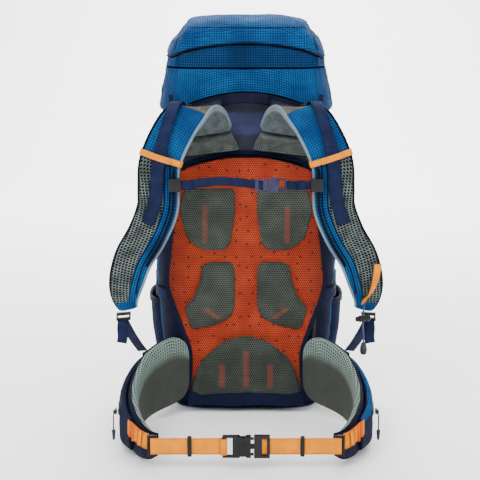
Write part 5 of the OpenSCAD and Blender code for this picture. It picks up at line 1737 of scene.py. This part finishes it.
fin_shape = fin_rows(fin_line, puffed=0.0004)
for _, side, flip in sides:
    fin = finished(f"hip_wing_{side}", skin(f"hip_wing_{side}", fin_shape * flip, parts=fin_kind), None,
                   [NAVY_CLOTH, WAFFLE],
                   [f"hip_fin_{side}"])
    smoothed(fin)
    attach(fin, f"belt_{side}")
    rim_cord = fin_shape[6:, 11] * 0.5 + fin_shape[6:, 10] * 0.5
    round_cord(f"hip_wing_edge_{side}", f"belt_{side}", PIPING, rim_cord * flip, 0.0017)

# ---------------------------------------------------------------- hip pockets
# A zipped pouch is sewn to the outside of each wing. The right one has a blue upper
# panel; both close with a short coil zip and a long pull.
HIP_ZIP_Z = 0.066
pouch_line = fin_line[12:41]
pouch_out = fin_outwards(pouch_line)
pouch_share = np.linspace(0, 1, len(pouch_line))
pouch_deep = 0.003 + 0.012 * np.sin(np.pi * (0.04 + 0.92 * pouch_share)) ** 0.6
pouch_deep += 0.0034 * np.exp(-((pouch_line[:, 1] + 0.338) / 0.015) ** 2)
pouch_off = pouch_line[:, 4] / 2 + 0.0004 + pouch_deep / 2
pouch_rows = fin_rows(pouch_line, pouch_off, pouch_deep, 0.12, 0.90, 44, petal=False)
for i, ring in enumerate(pouch_rows):
    for k, q in enumerate(ring.copy()):
        ring[k] = q + pouch_out[i] * 0.0011 * crease(*q, 0.03, 5.1) * math.sin(math.pi * pouch_share[i])


def pouch_kind(i, j):
    """1 on the upper panel, above the zip."""
    return 1 if 3 <= j < 12 else 0


for sign, side, flip in sides:
    finished(f"hip_pouch_{side}", skin("pouch", pouch_rows * flip, parts=pouch_kind), f"belt_{side}",
             [NAVY_CLOTH, BLUE_RIPSTOP if sign > 0 else NAVY_CLOTH], [f"hip_pocket_{side}"])
    level = []
    for y in np.linspace(-0.343, -0.255, 40):
        i = int(np.argmin(abs(pouch_line[:, 1] - y)))
        level.append(pouch_line[i, :3] * np.array([1, 1, 0]) + np.array([0, 0, HIP_ZIP_Z])
                     + pouch_out[i] * (pouch_off[i] + pouch_deep[i] / 2 + 0.0006))
    level = flow(np.array(level)[::4], 4)
    zip_face = unit(np.cross(headings(level), UP))
    zip_face *= np.sign(zip_face[:, :1])
    zip_run(f"hip_zip_{side}", level * flip, zip_face * flip, 0.008, f"belt_{side}", [])
    casting(f"hip_zip_pull_{side}", f"hip_zip_slider_{side}", f"hip_slider_{side}", 0.0004)

# ---------------------------------------------------------------- hip belt webbing
# Bright orange webbing passes from the buckle through a keeper and an adjuster, then
# back along each wing, where it is sewn down.
# A darker copy of the orange webbing: painted shade for the creases of the spare webbing's folds.
SHADED_ORANGE_WEB = webbing("shaded_orange_webbing", "C04A00", "E87400")
BELT_Y, BELT_Z, BELT_WIDE = -0.4341, 0.040, 0.028
wing = [(fin_line[i, :3] * np.array([1, 1, 0]) + fin_outwards(fin_line)[i] * (fin_line[i, 4] / 2 + 0.005)
         + np.array([0, 0, BELT_Z + 0.002 + 0.0006 * (len(fin_line) - 1 - i)])) for i in range(42, 51)]
for sign, side, flip in sides:
    start = 0.015 if sign > 0 else 0.042
    front = np.array([(x, BELT_Y, BELT_Z) for x in np.linspace(start, 0.156, 30)])
    band(f"hip_belt_{side}", f"belt_{side}", ORANGE_WEB, front * flip, BELT_WIDE,
         nodes=[f"hip_webbing_{side}"])
    band(f"hip_belt_wing_{side}", f"belt_{side}", ORANGE_WEB, np.array(wing) * flip,
         BELT_WIDE)
    casting(f"hip_adjuster_moulded_{side}", f"hip_adjuster_{side}", f"belt_{side}", 0.0009, 3)
# The spare webbing past each adjuster is doubled back and hangs in two short folds.
spare = [(fin_line[i, :3] * np.array([1, 1, 0])
          + fin_outwards(fin_line)[i] * (fin_line[i, 4] / 2 + 0.0085 + 0.0016 * math.sin(i * 1.9))
          + np.array([0, 0, BELT_Z + 0.0035 + 0.0007 * (len(fin_line) - 1 - i)])) for i in range(40, 49)]
spare = flow(np.array(spare), 4)
for _, side, flip in sides:
    band(f"hip_belt_spare_{side}", f"belt_{side}", ORANGE_WEB, spare * flip,
         BELT_WIDE - 0.002)
    # Each fold is a thicker bar in the darker orange, which paints shade into its crease.
    for k, at in enumerate((5, 15, 25)):
        bar = spare[at:at + 4] * flip + unit(spare[at] - np.array([0, -0.28, spare[at, 2]])) * flip * 0.0012
        band(f"hip_belt_shaded_fold_{k + 1}_{side}", f"belt_{side}", SHADED_ORANGE_WEB, bar,
             BELT_WIDE - 0.0005, 0.0022)
turn_round = [(-0.036 - 0.0055 * math.cos(a), BELT_Y + 0.0055 * math.sin(a), BELT_Z)
              for a in np.linspace(-2.6, 2.6, 36)]
band("hip_belt_turn", "belt_left", ORANGE_WEB, turn_round, BELT_WIDE, 0.0016)

# ---------------------------------------------------------------- hip buckle
# A large black side-release buckle: the socket on the left, and on the right a fork
# whose two sprung arms are squeezed to let it go.
casting("hip_buckle_socket", "hip_buckle_female", "belt_left", 0.0014, 3)
casting("hip_buckle_fork", "hip_buckle_male", "belt_right", 0.0011, 3)
for level in ("upper", "lower"):
    casting(f"hip_buckle_arm_{level}", f"hip_latch_{level}", f"latch_{level}", 0.0007)
plate = []
for s, r in ((0, 0.0), (0, 1.0), (0.35, 1.0), (0.75, 0.93), (1, 0.8), (1, 0.0)):
    plate.append([(-0.0075 + 0.0085 * r * power(math.cos(a), 0.6), BELT_Y - 0.006 - 0.0011 * s,
                   BELT_Z + 0.0075 * r * power(math.sin(a), 0.6))
                  for a in np.linspace(0, 2 * math.pi, 40, endpoint=False)])
finished("hip_buckle_boss", skin("boss", np.array(plate)[1:-1]), "belt_left", [PLASTIC])

# ---------------------------------------------------------------- stitching
# Rows of thread hold the webbing ends, tapes and panel edges. The stitches are small
# raised bars, dark on the navy pieces and deep orange on the belt.
DARK_THREAD = plain_cloth("dark_thread", "10162E", "2E3A66", 0.0009, 0.6, own_map=False)
BLUE_THREAD = plain_cloth("blue_thread", "0A2A4E", "1C5C94", 0.0009, 0.6, own_map=False)
WARM_THREAD = plain_cloth("orange_thread", "A83C00", "E06A08", 0.0009, 0.6, own_map=False)
STITCH = (0.0021, 0.0007, 0.0006)


for sign, side, flip in sides:
    end = lower_end[2:14] * flip + np.array([0, -0.0021, 0])
    w = unit(SIDEWAYS * flip)
    n = unit(np.cross(end[-1] - end[0], w)) * sign
    sewn = [(np.linspace(end[0] - w * 0.0088, end[0] + w * 0.0088, 12) + n * 0.0014, n),
            (np.linspace(end[3] - w * 0.0088, end[3] + w * 0.0088, 12) + n * 0.0014, n)]
    row_of_blocks(f"lifter_stitches_{side}", sewn, "harness", DARK_THREAD, 0.0030, STITCH)
    web = np.array(wing)[1:-1] * flip
    out = np.append(unit(np.cross(web[-1] - web[0], UP))[:2], 0) * sign
    out = out * np.sign(out[0] * sign if abs(out[0]) > 0.1 else -out[1])
    sewn = [(web + out * 0.0012 + np.array([0, 0, lift]), out) for lift in (-0.0115, 0.0115)]
    row_of_blocks(f"hip_belt_stitches_{side}", sewn, f"belt_{side}", WARM_THREAD, 0.0031, STITCH)

face_out = np.array([0, -1, 0])
sewn = [([(x, YOKE_FACE - 0.0003, trim(x) + lift) for x in np.linspace(-0.118, 0.118, 60)], face_out)
        for trim, lift in ((yoke_bottom, 0.0063), (yoke_bottom, -0.0003), (yoke_top, -0.0055))]
row_of_blocks("yoke_stitches", sewn, "pack", DARK_THREAD, 0.0032, STITCH)
sewn = [([(x, FACE - 0.0011, PANEL_LOW + dz) for x in np.linspace(-0.104, 0.104, 50)], face_out)
        for dz in (0.0065, -0.0145)]
row_of_blocks("foot_band_stitches", sewn, "pack", DARK_THREAD, 0.0032, STITCH)
for side, at in (("left", left_run[9, 0]), ("right", right_run[-1, 0] - 0.018)):
    sewn = [([(at, chest_y - 0.0032, CHEST_Z + dz) for dz in np.linspace(-0.0066, 0.0066, 8)], face_out)]
    row_of_blocks(f"sternum_stitches_{side}", sewn, "sternum", DARK_THREAD, 0.0026, STITCH)
rear_edge = []
for x in np.linspace(-0.120, 0.120, 90):
    hit = lid_flap_shape.ray_cast(Vector((x, -0.4, yoke_top(x) + 0.0085)), Vector((0, 1, 0)))[0]
    if hit:
        rear_edge.append(np.array(hit) + face_out * 0.0002)
row_of_blocks("lid_flap_stitches", [(rear_edge, face_out)], "pack", BLUE_THREAD, 0.0034, STITCH)
